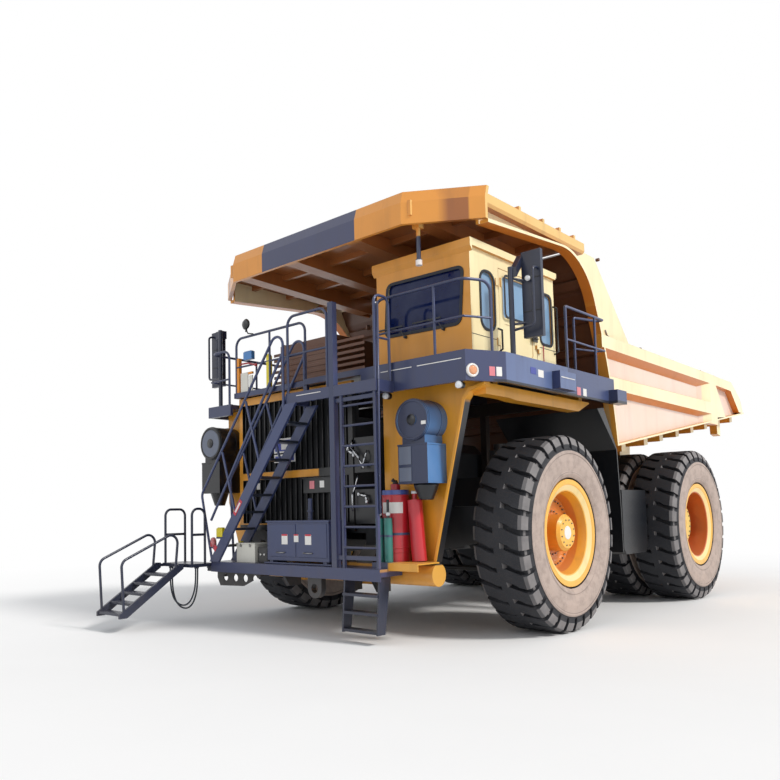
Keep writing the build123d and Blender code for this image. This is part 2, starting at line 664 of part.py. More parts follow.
finish_part(deck.part, "deck")

with BuildPart() as fender_supports:
    # left wall slants in towards its foot and carries a flange along its outboard edge
    cross_plate([(920, 1140), (1900, 1140), (2480, 3440), (2570, 3560), (2820, 3620), (2820, 3690),
                 (2820, beam_bottom - seat),
                 (920, beam_bottom - seat)], wall_back_x, wall_front_x)
    cross_plate([(1870, 1140), (1910, 1140), (2490, 3440), (2580, 3550), (2820, 3610), (2820, 3650),
                 (2550, 3600),
                 (2450, 3460)], wall_back_x - 10, wall_front_x + 100)
    # right wall, behind the air cleaner
    wing_bottom = right_wing_top - deck_plate
    cross_plate([(-2380, 1140), (-2560, 1140), (-2900, 2100), (-2900, wing_bottom - seat),
                 (-2380, wing_bottom - seat)],
                wall_back_x, wall_front_x)
    # beams along both sides of the deck, raked at their ends
    for side, beam_top in ((-1, wing_bottom - seat), (1, 3660)):
        side_plate([(wall_back_x + 5, 3500), (front_axle_x + 1300, 3500), (front_axle_x + 1100, 3480),
                    (front_axle_x - 900, 3480), (deck_rear_x, 3640), (deck_rear_x, beam_top),
                    (wall_back_x + 5, beam_top)],
                   *sorted((side * 2560, side * 2760)))
    # cross beams below the deck beams, on posts that stand on the frame rails
    for x in (front_axle_x + 1500, front_axle_x - 1150):
        block(x, x + 120, right_wing_y + 60 + seat, 2700, 3600, beam_bottom - seat)
        for side in (-1, 1):
            side_plate([(x, rail_top(x) + seat), (x + 120, rail_top(x + 120) + seat), (x + 120, 3610),
                        (x, 3610)],
                       *sorted((side * 760, side * rail_outer_y)))
finish_part(fender_supports.part, "fender_supports")

# outboard edge of each splash panel, X from the front axle and Z, then its folded hem
splash_edge = [(-1375, 3560), (-2065, 2890), (-2140, 1835), (-2150, 1100)]
splash_hem = [(-2175, 1100), (-2165, 1835), (-2095, 2890), (-1620, 3590)]
splash_outer_y = 2860
splash_sheet = 12
with BuildPart() as splash_panels:
    for side in (-1, 1):
        side_plate([(front_axle_x + x, z) for x, z in splash_edge]
                   + [(front_axle_x + x - splash_sheet, z) for x, z in reversed(splash_edge)],
                   *sorted((side * (rail_outer_y + seat), side * splash_outer_y)))
        side_plate([(front_axle_x + x, z) for x, z in splash_edge + splash_hem],
                   *sorted((side * (splash_outer_y - splash_sheet), side * splash_outer_y)))
finish_part(splash_panels.part, "splash_panels")

with BuildPart() as handrails:
    rail_x = deck_front_x - 30
    side_y = deck_half - 35
    # in front of the cab and round the left front corner
    guard_rail([(rail_x, cab_right_y + 250), (rail_x, 2690), (front_axle_x + 1905, 2880)], deck_top,
               posts=[(rail_x, 2200)])
    # left side behind the door
    guard_rail([(front_axle_x - 150, side_y), (front_axle_x - 1540, side_y),
                (front_axle_x - 1480, side_y - 105),
                (front_axle_x - 970, 2700)], deck_top, posts=[(front_axle_x - 1185, side_y)], bend=30)
    # front edge beside the stairs, and round the lower wing on the right
    guard_rail([(recess_x - 30, landing_right_y - 60), (recess_x - 30, right_wing_y + 40)], deck_top,
               posts=[(recess_x - 30, -1400)])
    guard_rail([(rail_x, right_wing_y - 60), (rail_x, 60 - deck_half), (deck_rear_x + 100, 60 - deck_half)],
               right_wing_top, posts=[(front_axle_x + 1200, 60 - deck_half), (front_axle_x, 60 - deck_half)])
    # landing: front hoop, then the side by the ladder
    guard_rail([(landing_front_x - 30, landing_right_y + 30), (landing_front_x - 30, post_y - 100)],
               landing_top,
               height=1250, middle=620)
    guard_rail([(landing_front_x - 30, landing_left_y - 30), (deck_front_x + 40, landing_left_y - 30)],
               landing_top,
               height=1250, middle=620, bend=120)
finish_part(handrails.part, "handrails")

with BuildPart() as grid_box:
    block(front_axle_x - 500, front_axle_x + 1500, -1900, -500, deck_top + seat, deck_top + 900)
    block(front_axle_x - 1000, front_axle_x - 500, -2200, 300, deck_top + seat, deck_top + 700)
finish_part(grid_box.part, "grid_box")

with BuildPart() as mirrors:
    # side, post X, post Y, foot Z, X of the mirror's face, its inner and outer Y, its height
    for side, post_x, mast_y, foot_z, face, near, far, low, high in (
            (1, front_axle_x + 1450, 2945, deck_top, front_axle_x + 1215, 3030, 3335, 4330, 5590),
            (-1, deck_front_x - 180, -2860, right_wing_top, deck_front_x - 400, 2980, 3320, 4330, 5400)):
        bar((post_x, mast_y, foot_z + seat), (post_x, mast_y, 5360), 38)
        block(face, face + 70, *sorted((side * near, side * far)), low, high)
        # loop round the outboard side, a stay at the foot and a gusset at the head
        pipe([(post_x, mast_y, 4430), (post_x - 40, side * (far - 60), 4470),
              (post_x - 40, side * (far - 60), 5300),
              (face + 60, side * (far - 60), 5320)], 19, 60)
        bar((post_x, mast_y, 4520), (face + 40, side * (near + 60), 4560), 18)
        bar((post_x, mast_y, 5200), (face + 40, side * (near + 60), 5160), 18)
        side_plate([(post_x, 5200), (post_x, 5350), (face + 60, high - 30), (face + 60, high - 180)],
                   *sorted((mast_y + side * 10, side * (near + 15))))
finish_part(mirrors.part, "mirrors")

# ---------------------------------------------------------------- cab
window_low, window_high = 4560, 5380


def upright(low, high, sill, head):
    """Corner points of a window between two places along a wall."""
    return [(low, sill), (high, sill), (high, head), (low, head)]


# outline and corner radius of every pane but the door's
front_windows = [([(1030, 4590), (2400, window_low), (2470, 5370), (1090, window_high + 10)], 85)]
rear_windows = [(upright(1150, 2300, 4700, 5350), 70)]
right_windows = [(upright(front_axle_x + 200, front_axle_x + 1600, window_low, window_high), 80)]
left_windows = [(upright(front_axle_x + 1330, front_axle_x + 1700, window_low - 60, window_high - 20), 150),
                (upright(front_axle_x - 400, front_axle_x - 20, window_low - 40, window_high - 30), 90)]
with BuildPart() as cab_shell:
    cab_floor = deck_top + seat
    block(cab_rear_x, cab_front_x, cab_right_y, cab_left_y, cab_floor, cab_roof)
    block(cab_rear_x + cab_wall, cab_front_x - cab_wall, cab_right_y + cab_wall, cab_left_y - cab_wall,
          cab_floor + 60, cab_roof - 60, mode=Mode.SUBTRACT)
    flat_plate([(cab_rear_x - 30, cab_right_y - 50), (cab_front_x + 50, cab_right_y - 50),
                (cab_front_x + 50, cab_left_y + 50), (cab_rear_x - 30, cab_left_y + 50)], cab_roof - 20,
                cab_roof + 60)
    for outline, corner in front_windows:
        cross_plate(outline, cab_front_x - 100, cab_front_x + 10, mode=Mode.SUBTRACT, corner=corner)
    for outline, corner in rear_windows:
        cross_plate(outline, cab_rear_x - 10, cab_rear_x + 100, mode=Mode.SUBTRACT, corner=corner)
    for outline, corner in right_windows:
        side_plate(outline, cab_right_y - 10, cab_right_y + 100, mode=Mode.SUBTRACT, corner=corner)
    for outline, corner in left_windows:
        side_plate(outline, cab_left_y - 100, cab_left_y + 10, mode=Mode.SUBTRACT, corner=corner)
    block(door_rear_x, door_front_x, cab_left_y - 100, cab_left_y + 10, door_bottom, door_top,
          mode=Mode.SUBTRACT)
    # the hood over the windscreen and the gutters along both sides
    side_plate([(cab_front_x - 5, cab_roof - 130), (cab_front_x + 50, cab_roof - 60),
                (cab_front_x + 50, cab_roof - 10),
                (cab_front_x - 5, cab_roof - 10)], cab_right_y - 50, cab_left_y + 50)
    for y in (cab_right_y - 50, cab_left_y):
        block(cab_rear_x, cab_front_x, y, y + 50, cab_roof - 50, cab_roof - 10)
    # mounts under the cab and the hinge pins of the door
    for z in (4400, 5250):
        bar((door_rear_x - 15, cab_left_y + 18, z - 60), (door_rear_x - 15, cab_left_y + 18, z - seat), 18)
        block(door_rear_x - 75, door_rear_x - 15, cab_left_y - 5, cab_left_y + 30, z - 60, z - seat)
finish_part(cab_shell.part, "cab_shell")

hinge_x, hinge_y = door_rear_x - 15, cab_left_y + 18
door_corner = 60
door_window = upright(door_rear_x + 130, door_front_x - 120, 4760, 5390)
door_panel = upright(door_rear_x + 130, door_front_x - 120, 4240, 4660)
with BuildPart() as cab_door:
    block(door_rear_x + door_gap, door_front_x - door_gap, cab_left_y - 55, cab_left_y - 2,
          door_bottom + door_gap, door_top - door_gap)
    side_plate(door_window, cab_left_y - 100, cab_left_y + 20, mode=Mode.SUBTRACT, corner=door_corner)
    # pressed panel below the window
    side_plate(door_panel, cab_left_y - 10, cab_left_y, mode=Mode.SUBTRACT, corner=door_corner)
    for z in (4400, 5250):
        bar((hinge_x, hinge_y, z), (hinge_x, hinge_y, z + 60), 18)
        block(hinge_x, door_rear_x + 60, cab_left_y + 8, cab_left_y + 34, z, z + 60)
        block(door_rear_x + 16, door_rear_x + 60, cab_left_y - 5, cab_left_y + 10, z, z + 60)
finish_part(cab_door.part, "cab_door")

with BuildPart() as door_glass:
    side_plate(door_window, cab_left_y - 35, cab_left_y - 23, corner=door_corner, inset=seat)
finish_part(door_glass.part, "door_glass")

with BuildPart() as cab_glass:
    for outline, corner in front_windows:
        cross_plate(outline, cab_front_x - 40, cab_front_x - 28, corner=corner, inset=seat)
    for outline, corner in rear_windows:
        cross_plate(outline, cab_rear_x + 28, cab_rear_x + 40, corner=corner, inset=seat)
    for outline, corner in right_windows:
        side_plate(outline, cab_right_y + 25, cab_right_y + 37, corner=corner, inset=seat)
    for outline, corner in left_windows:
        side_plate(outline, cab_left_y - 37, cab_left_y - 25, corner=corner, inset=seat)
finish_part(cab_glass.part, "cab_glass")

with BuildPart() as driver_seat:
    seat_x, seat_y = front_axle_x + 500, 1750
    block(seat_x - 200, seat_x + 200, seat_y - 180, seat_y + 180, deck_top + 60 + 2 * seat, 4480)
    block(seat_x - 260, seat_x + 280, seat_y - 260, seat_y + 260, 4470, 4600)
    side_plate([(seat_x - 270, 4560), (seat_x - 150, 4560), (seat_x - 270, 5250), (seat_x - 370, 5250)],
               seat_y - 240, seat_y + 240)
finish_part(driver_seat.part, "driver_seat")

with BuildPart() as cab_console:
    cross_plate([(1000, 4141), (2450, 4141), (2450, 4480), (2300, 4540), (1150, 4540), (1000, 4480)],
                cab_front_x - 450, cab_front_x - 90)
    bar((cab_front_x - 300, 1750, 4450), (cab_front_x - 620, 1750, 4760), 40)
    with Locations(Location((cab_front_x - 620, 1750, 4770), (0, -45, 0))):
        Torus(220, 18)
        Cylinder(45, 40)
        Box(440, 36, 18)
finish_part(cab_console.part, "cab_console")

# ---------------------------------------------------------------- bed
def floor_z(x):
    """Underside of the floor plate at a given X."""
    return floor_front_z + (floor_front_x - x) * (floor_rear_z - floor_front_z) / (floor_front_x - floor_rear_x)


def floor_top(x):
    """Upper face of the floor plate at a given X."""
    return floor_z(x - 10) + floor_plate


def under_floor(x0, x1, depth):
    """Corner points of a band that hangs below the floor plate."""
    return [(x0, floor_z(x0) + 10), (x1, floor_z(x1) + 10), (x1, floor_z(x1) - depth),
            (x0, floor_z(x0) - depth)]


toe_rear_x = floor_front_x - 62
toe_step = 6
bolsters = [front_axle_x - fx for fx in (2850, 3900, 4700, 5600, 6500, 7400, 8300, 9250)]
with BuildPart() as bed_floor:
    # the headboard's foot stands in a rebate at the front edge
    side_plate([(floor_front_x, floor_front_z), (floor_rear_x, floor_rear_z),
                (floor_rear_x + 10, floor_rear_z + floor_plate),
                (toe_rear_x - seat, floor_top(toe_rear_x - seat)),
                (toe_rear_x - seat, floor_top(toe_rear_x) - toe_step),
                (floor_front_x + 10, floor_top(floor_front_x + 10) - toe_step)],
               seat - side_inner_y, side_inner_y - seat)
    for x in bolsters:
        side_plate(under_floor(x - 90, x + 90, 160), -side_inner_y + 40, side_inner_y - 40)
    # two long beams that come down to the frame pads, the pivot ears and the hoist cheeks
    for side in (-1, 1):
        side_plate([(floor_front_x - 200, floor_z(floor_front_x - 200) + 5),
                    (floor_rear_x + 1500, floor_z(floor_rear_x + 1500) + 5),
                    (floor_rear_x + 1700, floor_z(floor_rear_x + 1700) - 140),
                    (pivot_x - 500, floor_z(pivot_x - 500) - 380), (rear_axle_x - 100, 2972),
                    (rear_axle_x + 700, 2972),
                    (front_axle_x - 2500, 2461), (front_axle_x - 2250, 2461), (front_axle_x - 2150, 2560)],
                   *sorted((side * 640, side * 840)))
        side_plate([(pivot_x - 320, floor_z(pivot_x - 320) + 5), (pivot_x - 200, pivot_z - 60),
                    (pivot_x - 60, pivot_z - 200),
                    (pivot_x + 60, pivot_z - 200), (pivot_x + 200, pivot_z - 60),
                    (pivot_x + 380, floor_z(pivot_x + 380) + 5)],
                   *sorted((side * 886, side * 985)))
        for low in (895, 1190):
            side_plate([(hoist_eye_x - 300, floor_z(hoist_eye_x - 300) + 5),
                        (hoist_eye_x - 130, hoist_eye_z - 130),
                        (hoist_eye_x + 130, hoist_eye_z - 130),
                        (hoist_eye_x + 300, floor_z(hoist_eye_x + 300) + 5)],
                       *sorted((side * low, side * (low + 35))))
        # lug behind the rear wheels
        side_plate([(bolsters[-2] + 80, 3900), (bolsters[-2] + 40, 3560), (bolsters[-2] - 160, 3520),
                    (bolsters[-2] - 180, 3960)], *sorted((side * 2480, side * 2640)))
    bar((pivot_x, -985, pivot_z), (pivot_x, 985, pivot_z), pivot_pin_radius)
finish_part(bed_floor.part, "bed_floor")

def side_face(y, front_x):
    """Outline of the bed's side in the XZ plane at a given Y: wheel arch, foot, floor edge, tail and top."""
    with BuildSketch(Plane((0, y, 0), x_dir=(1, 0, 0), z_dir=(0, -1, 0))) as face:
        with BuildLine():
            Line((front_x, arch_front_z), arch_crown)
            ThreePointArc(arch_crown, (front_axle_x - 1000, 5930), arch_shoulder)
            ThreePointArc(arch_shoulder, (front_axle_x - 1865, 4177), (floor_front_x, floor_front_z))
            Polyline((floor_front_x, floor_front_z), (floor_rear_x, floor_rear_z),
                     (front_axle_x - 9290, 4480),
                     (front_axle_x - 8700, side_rear_z), (front_axle_x - 3160, side_front_z),
                     (front_axle_x - 1780, 6285), (canopy_rear_x, lip_bend), (front_x, lip_bend),
                     (front_x, arch_front_z))
        make_face()
    return face.sketch


def fold(side, sections):
    """Solid lofted between cross sections: for each its X, then its corner points in Y and Z."""
    faces = []
    for x, points in sections:
        with BuildSketch(Plane.YZ.offset(x)) as cut:
            with BuildLine():
                Polyline(*[(side * y, z) for y, z in points], close=True)
            make_face()
        faces.append(cut.sketch.face())
    loft(faces)


side_front_z, side_rear_z = 4884, 4805
canopy_rear_x = front_axle_x - 1110
fold_y = side_inner_y + side_panel - 5
# long rails along the side: outer face's low and high edge, how far the underside and the top slope in
side_rails = [(4655, 4880, 4613, 4826, 120, 0), (3945, 4168, 3922, 4185, 85, 60)]
rail_front_x = [front_axle_x - 1640, front_axle_x - 1900]
rail_rear_x = front_axle_x - 7500
post_front_x, post_slope = front_axle_x - 7150, 520
with BuildPart() as bed_sides:
    for side in (-1, 1):
        extrude(side_face(max(side * side_inner_y, side * (side_inner_y + side_panel)), lip_corner_x - 20),
                amount=side_panel)
        # flange round the arch, down the foot and along the floor's edge
        outer_y = max(side * side_inner_y, side * bed_half)
        core = side_face(outer_y, lip_corner_x + 200).moved(Location((-flange_thick, 0, flange_thick)))
        for face in (side_face(outer_y, lip_corner_x - 62) - core).faces():
            extrude(face, amount=bed_half - side_inner_y, dir=(0, -1, 0))
        for (low_a, high_a, low_b, high_b, under, over), front_x in zip(side_rails, rail_front_x):
            fold(side, [(x, [(fold_y, low - under), (bed_half, low), (bed_half, high), (fold_y, high + over)])
                        for x, low, high in ((front_x, low_a, high_a), (rail_rear_x, low_b, high_b))])
        # upright at the rails' rear ends, its front face folded in to the panel, then the tail's frame
        for low, high in ((3700, 3930), (4180, 4620)):
            with BuildSketch(Plane.XY.offset(low)) as upright_face:
                with BuildLine():
                    Polyline((post_front_x + post_slope, side * fold_y), (post_front_x, side * bed_half),
                             (rail_rear_x - 60, side * bed_half), (rail_rear_x - 60, side * fold_y),
                             close=True)
                make_face()
            extrude(upright_face.sketch, amount=high - low)
        outer = sorted((side * fold_y, side * bed_half))
        side_plate([(rail_rear_x, 4613), (front_axle_x - 8620, 4585), (front_axle_x - 9170, 4120),
                    (floor_rear_x + 60, 4115), (front_axle_x - 9280, 4470),
                    (front_axle_x - 8700, side_rear_z - 5),
                    (rail_rear_x, side_rear_z + 12)], *outer)
        side_plate([(rail_rear_x - 40, 4620), (rail_rear_x + 200, 3850), (front_axle_x - 8120, 3920),
                    (rail_rear_x - 140, 4500)], *outer)
finish_part(bed_sides.part, "bed_sides")

# front face of the headboard, from the bed's foot up to the canopy
headboard = [(floor_front_x + 10, floor_top(floor_front_x + 10) - toe_step + seat),
             (front_axle_x - 2010, 4000),
             (front_axle_x - 1640, 5200), (front_axle_x - 1500, 5600), (front_axle_x - 1200, 5950),
             (canopy_rear_x + 50, 6240)]


def board_x(z):
    """X of the headboard's front face at a given height."""
    for (x0, z0), (x1, z1) in zip(headboard, headboard[1:]):
        if z0 <= z <= z1:
            return x0 + (x1 - x0) * (z - z0) / (z1 - z0)
    return headboard[-1][0]


with BuildPart() as bed_headboard:
    side_plate([*headboard, (canopy_rear_x - 20, 6290), (front_axle_x - 1270, 5980),
                (front_axle_x - 1568, 5630),
                (front_axle_x - 1708, 5220), (front_axle_x - 2080, 4020),
                (toe_rear_x, floor_top(toe_rear_x) - toe_step + seat)], seat - side_inner_y,
                side_inner_y - seat)
    # level ribs across the front face
    for z in (3450, 4100, 4640, 5200, 5740):
        side_plate([(board_x(z - 100) - 30, z - 100), (board_x(z - 60) + 80, z - 60),
                    (board_x(z + 60) + 80, z + 60),
                    (board_x(z + 110) - 30, z + 110)], -side_inner_y + 20, side_inner_y - 20)
finish_part(bed_headboard.part, "bed_headboard")

kerb_low, kerb_high = 6175, lip_bend + canopy_sheet
kerb_gussets = [front_axle_x + 990, front_axle_x + 270, front_axle_x - 270, front_axle_x - 770]
kerb_rear_x = front_axle_x - 1120
with BuildPart() as bed_canopy:
    front_edge = lip_front_x - lip_setback - 40
    flat_plate([(front_edge, -lip_corner_y), (front_edge, lip_corner_y), (lip_corner_x - 10, bed_half - 10),
                (canopy_rear_x, bed_half - 10), (canopy_rear_x, 10 - bed_half),
                (lip_corner_x - 10, 10 - bed_half)],
               lip_bend + seat, lip_bend + canopy_sheet)
    # lip: level lower facet, upper facet leaning back, round both chamfered corners
    for z0, z1, back0, back1 in ((lip_bottom, lip_bend, 0, 0), (lip_bend, lip_top, 0, lip_setback)):
        sections = []
        for z, back in ((z0, back0), (z1, back1)):
            with BuildSketch(Plane.XY.offset(z)) as ring:
                with BuildLine():
                    Polyline((lip_front_x - back, -lip_corner_y), (lip_front_x - back, lip_corner_y),
                             (lip_corner_x - back, bed_half), (lip_corner_x - back - 60, bed_half),
                             (lip_corner_x - back - 60, bed_half - 40),
                             (lip_front_x - back - 60, lip_corner_y - 20),
                             (lip_front_x - back - 60, 20 - lip_corner_y),
                             (lip_corner_x - back - 60, 40 - bed_half),
                             (lip_corner_x - back - 60, -bed_half), (lip_corner_x - back, -bed_half),
                             close=True)
                make_face()
            sections.append(ring.sketch.face())
        loft(sections)
    # kerb along both sides, folded in below, with gussets that stand above it
    for side in (-1, 1):
        inner_y = side_inner_y + side_panel + seat
        fold(side, [(x, [(inner_y, kerb_low), (bed_half - 30, kerb_low), (bed_half, kerb_low + 40),
                         (bed_half, kerb_high),
                         (inner_y, kerb_high)]) for x in (lip_corner_x - 59, kerb_rear_x)])
        for x in kerb_gussets:
            cross_plate([(side * (bed_half - 190), kerb_high - 5), (side * (bed_half - 110), kerb_high + 60),
                         (side * bed_half, kerb_high + 60), (side * bed_half, kerb_high - 5)], x - 30, x + 30)
    # lengthwise channels under the sheet and the ties between them
    for y in (-1900, -700, 700, 1900):
        for low in (y - 130, y + 80):
            side_plate([(lip_front_x - 55, 6100), (lip_front_x - 55, lip_bend + 20),
                        (canopy_rear_x + 50 + seat, lip_bend + 20), (canopy_rear_x + 50 + seat, 6240),
                        (board_x(6010) + 2, 6010), (board_x(6010) + 160, 6010)], low, low + 50)
        side_plate([(lip_front_x - 55, 6100), (lip_front_x - 55, 6130), (front_axle_x - 900, 6045),
                    (front_axle_x - 900, 6010)], y - 130, y + 130)
    for x in (front_axle_x + 1500, front_axle_x + 600, front_axle_x - 350):
        block(x - 40, x + 40, -2650, 2650, 6200, lip_bend + 20)
    # hanging marker lamp
    lamp_x, lamp_y = front_axle_x + 2330, 1980
    block(lamp_x - 60, lamp_x + 60, lamp_y - 60, lamp_y + 60, 5960, 6320)
    bar((lamp_x, lamp_y, 5500), (lamp_x, lamp_y, 5970), 32)
    bar((lamp_x, lamp_y, 5420), (lamp_x, lamp_y, 5510), 48)
finish_part(bed_canopy.part, "bed_canopy")

# ---------------------------------------------------------------- hoists: barrel, stage and rod
hoist_dx = hoist_eye_x - hoist_foot_x
hoist_dz = hoist_eye_z - hoist_foot_z
hoist_span = sqrt(hoist_dx ** 2 + hoist_dz ** 2)
barrel_outer, barrel_inner, barrel_length = 150, 125, 1620
stage_outer, stage_inner, stage_length = 124.7, 95, 1640
rod_outer = 94.7


def along(distance, side):
    """Point on a hoist's own line, measured from the foot pin."""
    return (hoist_foot_x + hoist_dx * distance / hoist_span, side * hoist_y,
            hoist_foot_z + hoist_dz * distance / hoist_span)


with BuildPart() as hoist_barrels:
    for side in (-1, 1):
        bar((hoist_foot_x, side * hoist_y - 80, hoist_foot_z),
            (hoist_foot_x, side * hoist_y + 80, hoist_foot_z), 130)
        bar(along(40, side), along(barrel_length, side), barrel_outer)
        bar(along(126, side), along(barrel_length + 5, side), barrel_inner, mode=Mode.SUBTRACT)
        bar((hoist_foot_x, side * hoist_y - 160, hoist_foot_z),
            (hoist_foot_x, side * hoist_y + 160, hoist_foot_z),
            hoist_pin_radius + running_gap, mode=Mode.SUBTRACT)
finish_part(hoist_barrels.part, "hoist_barrels")

with BuildPart() as hoist_stages:
    for side in (-1, 1):
        bar(along(130, side), along(stage_length, side), stage_outer)
        bar(along(145, side), along(stage_length + 5, side), stage_inner, mode=Mode.SUBTRACT)
finish_part(hoist_stages.part, "hoist_stages")

with BuildPart() as hoist_rods:
    for side in (-1, 1):
        bar(along(150, side), along(hoist_span, side), rod_outer)
        bar((hoist_eye_x, side * hoist_y - 80, hoist_eye_z), (hoist_eye_x, side * hoist_y + 80, hoist_eye_z),
            100)
        bar((hoist_eye_x, side * hoist_y - 90, hoist_eye_z), (hoist_eye_x, side * hoist_y + 90, hoist_eye_z),
            45, mode=Mode.SUBTRACT)
finish_part(hoist_rods.part, "hoist_rods")

# ---------------------------------------------------------------- boarding landing and stairs
landing_low, landing_high = 985, 1045
gate_x = front_axle_x + 2640
hinge_z = 1010
lug_y = 305
hinge_pin = 16
with BuildPart() as boarding_landing:
    block(gate_x, boarding_top_x - 75, boarding_y - 340, -2440, landing_low, landing_high)
    # bracket under the platform's corner
    block(gate_x, platform_front_x - skirt - seat, -2560, -2300, 900,
          platform_top - platform_thickness - seat)
    block(gate_x, front_axle_x + 2730, -2560, -2440, 950, 1000)
    # hinge lugs and pins for the stairs
    for side in (-1, 1):
        y = boarding_y + side * lug_y
        block(boarding_top_x - 90, boarding_top_x + 18, y - 14, y + 14, landing_low, landing_high - 10)
        bar((boarding_top_x, y, hinge_z), (boarding_top_x, y + side * 70, hinge_z), hinge_pin)
    # hoops on both sides of the landing
    for y, x in ((boarding_y - 300, gate_x + 40), (-2480, gate_x + 190)):
        pipe([(x, y, landing_high), (x, y, landing_high + 950), (boarding_top_x - 110, y, landing_high + 950),
              (boarding_top_x - 110, y, landing_high)], rail_radius, 120)
        bar((x, y, landing_high + 500), (boarding_top_x - 110, y, landing_high + 500), rail_radius)
    # glands for the hoses
    for x, y in hose_ends:
        bar((x, y, landing_low - gland_length), (x, y, landing_low + 5), gland_radius)
finish_part(boarding_landing.part, "boarding_landing")

with BuildPart() as boarding_stairs:
    foot_x, foot_z = boarding_top_x + boarding_run, hinge_z - boarding_drop
    for side in (-1, 1):
        y = boarding_y + side * boarding_width / 2
        side_plate([(boarding_top_x - 30, hinge_z - 45), (boarding_top_x - 30, hinge_z + 40),
                    (boarding_top_x + 60, hinge_z + 45), (foot_x + 60, foot_z + 60),
                    (foot_x + 60, foot_z - 10),
                    (foot_x - 80, foot_z - 10), (boarding_top_x + 40, hinge_z - 90)],
                   *sorted((y + side * 5, y + side * 45)))
        rail_y = y + side * 25
        pipe([(boarding_top_x + 120, rail_y, hinge_z - 20), (boarding_top_x + 60, rail_y, hinge_z + 620),
              (foot_x + 20, rail_y, foot_z + 900), (foot_x - 30, rail_y, foot_z + 60)], rail_radius, 140)
    for step in range(1, 6):
        part_way = step / 5.3
        x = boarding_top_x + boarding_run * part_way
        z = hinge_z - boarding_drop * part_way
        block(x - 110, x + 110, boarding_y - boarding_width / 2 - 6, boarding_y + boarding_width / 2 + 6,
              z - 15, z + 25)
    bar((boarding_top_x, boarding_y - 400, hinge_z), (boarding_top_x, boarding_y + 400, hinge_z),
        hinge_pin + running_gap, mode=Mode.SUBTRACT)
finish_part(boarding_stairs.part, "boarding_stairs")

for name, route in hose_routes.items():
    runs = [Vector(*b) - Vector(*a) for a, b in zip(route, route[1:])]
    radii = [0.45 * min(a.length, b.length) / tan(radians(a.get_angle(b) / 2)) for a,
             b in zip(runs, runs[1:])]
    with BuildPart() as hose:
        with BuildLine() as sag:
            FilletPolyline(*route, radius=radii)
        with BuildSketch(Plane(sag.line @ 0, z_dir=sag.line % 0)) as section:
            Circle(hose_radius)
        sweep(section.sketch, path=sag.line)
    finish_part(hose.part, name)
    hose_length = sum(edge.length for edge in sag.edges())
    print(name, "length", round(hose_length), "radii", [round(radius) for radius in radii])
    print(name, "volume ratio", round(hose.part.volume / (pi * hose_radius ** 2 * hose_length), 4))
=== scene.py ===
"""Finishes and trim of a rigid mining dump truck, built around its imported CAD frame.

Metres, in the frame of the CAD part: X forward, Y to the truck's left, Z up.
"""
from functools import cached_property
from math import cos, pi, radians, sin

import bmesh
import bpy
from mathutils import Matrix, Vector


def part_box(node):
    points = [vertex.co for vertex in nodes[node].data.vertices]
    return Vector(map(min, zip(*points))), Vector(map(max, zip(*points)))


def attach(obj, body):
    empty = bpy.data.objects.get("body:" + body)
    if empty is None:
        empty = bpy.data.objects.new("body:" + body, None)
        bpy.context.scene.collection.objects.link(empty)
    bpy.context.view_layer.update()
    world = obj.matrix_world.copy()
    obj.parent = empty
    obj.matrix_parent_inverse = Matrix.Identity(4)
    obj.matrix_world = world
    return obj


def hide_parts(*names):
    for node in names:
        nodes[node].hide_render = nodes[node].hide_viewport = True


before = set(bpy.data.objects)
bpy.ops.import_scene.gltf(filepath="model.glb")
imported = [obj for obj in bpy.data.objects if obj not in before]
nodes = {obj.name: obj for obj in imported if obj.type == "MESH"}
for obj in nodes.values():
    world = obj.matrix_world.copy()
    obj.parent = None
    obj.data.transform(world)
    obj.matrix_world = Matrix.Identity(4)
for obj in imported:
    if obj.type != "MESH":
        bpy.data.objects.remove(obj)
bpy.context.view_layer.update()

scene = bpy.context.scene
scene.view_settings.view_transform = "Standard"


def middle(node):
    """Centre of a CAD node's box."""
    low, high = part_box(node)
    return (low + high) / 2


front_hub = middle("tyre_front_left")
front_x = front_hub.x
rear_x = middle("tyres_rear_left").x
rear_axle = rear_x - front_x
hub_z = front_hub.z
left, right = 1, -1
forward, outboard, upward = (1, 0, 0), (0, 1, 0), (0, 0, 1)


# ------------------------------------------------------------------ camera
camera_place = Vector((front_x + 11.075, 8.532, 1.9))
camera_yaw, camera_pitch, camera_roll = -2.38, 0.0796, -0.019
camera_lens, camera_shift = 35.46, (0.073, 0.0774)


def build_camera():
    """Standing beside the left front corner, at a little over head height."""
    ahead = Vector((cos(camera_yaw) * cos(camera_pitch), sin(camera_yaw) * cos(camera_pitch),
                    sin(camera_pitch)))
    level_right = Vector((sin(camera_yaw), -cos(camera_yaw), 0))
    level_up = level_right.cross(ahead)
    right_axis = cos(camera_roll) * level_right + sin(camera_roll) * level_up
    up_axis = right_axis.cross(ahead)
    turn = Matrix((right_axis, up_axis, -ahead)).transposed().to_4x4()
    data = bpy.data.cameras.new("camera")
    data.lens, data.sensor_width = camera_lens, 36
    data.shift_x, data.shift_y = camera_shift
    data.clip_end = 500
    camera = bpy.data.objects.new("camera", data)
    camera.matrix_world = Matrix.Translation(camera_place) @ turn
    scene.collection.objects.link(camera)
    scene.camera = camera


build_camera()


# ------------------------------------------------------------------ node helpers
def srgb(red, green, blue):
    """A colour as it is seen on a screen, 0 to 255, made linear."""
    def linear(value):
        value /= 255
        return value / 12.92 if value <= 0.04045 else ((value + 0.055) / 1.055) ** 2.4
    return (linear(red), linear(green), linear(blue), 1)


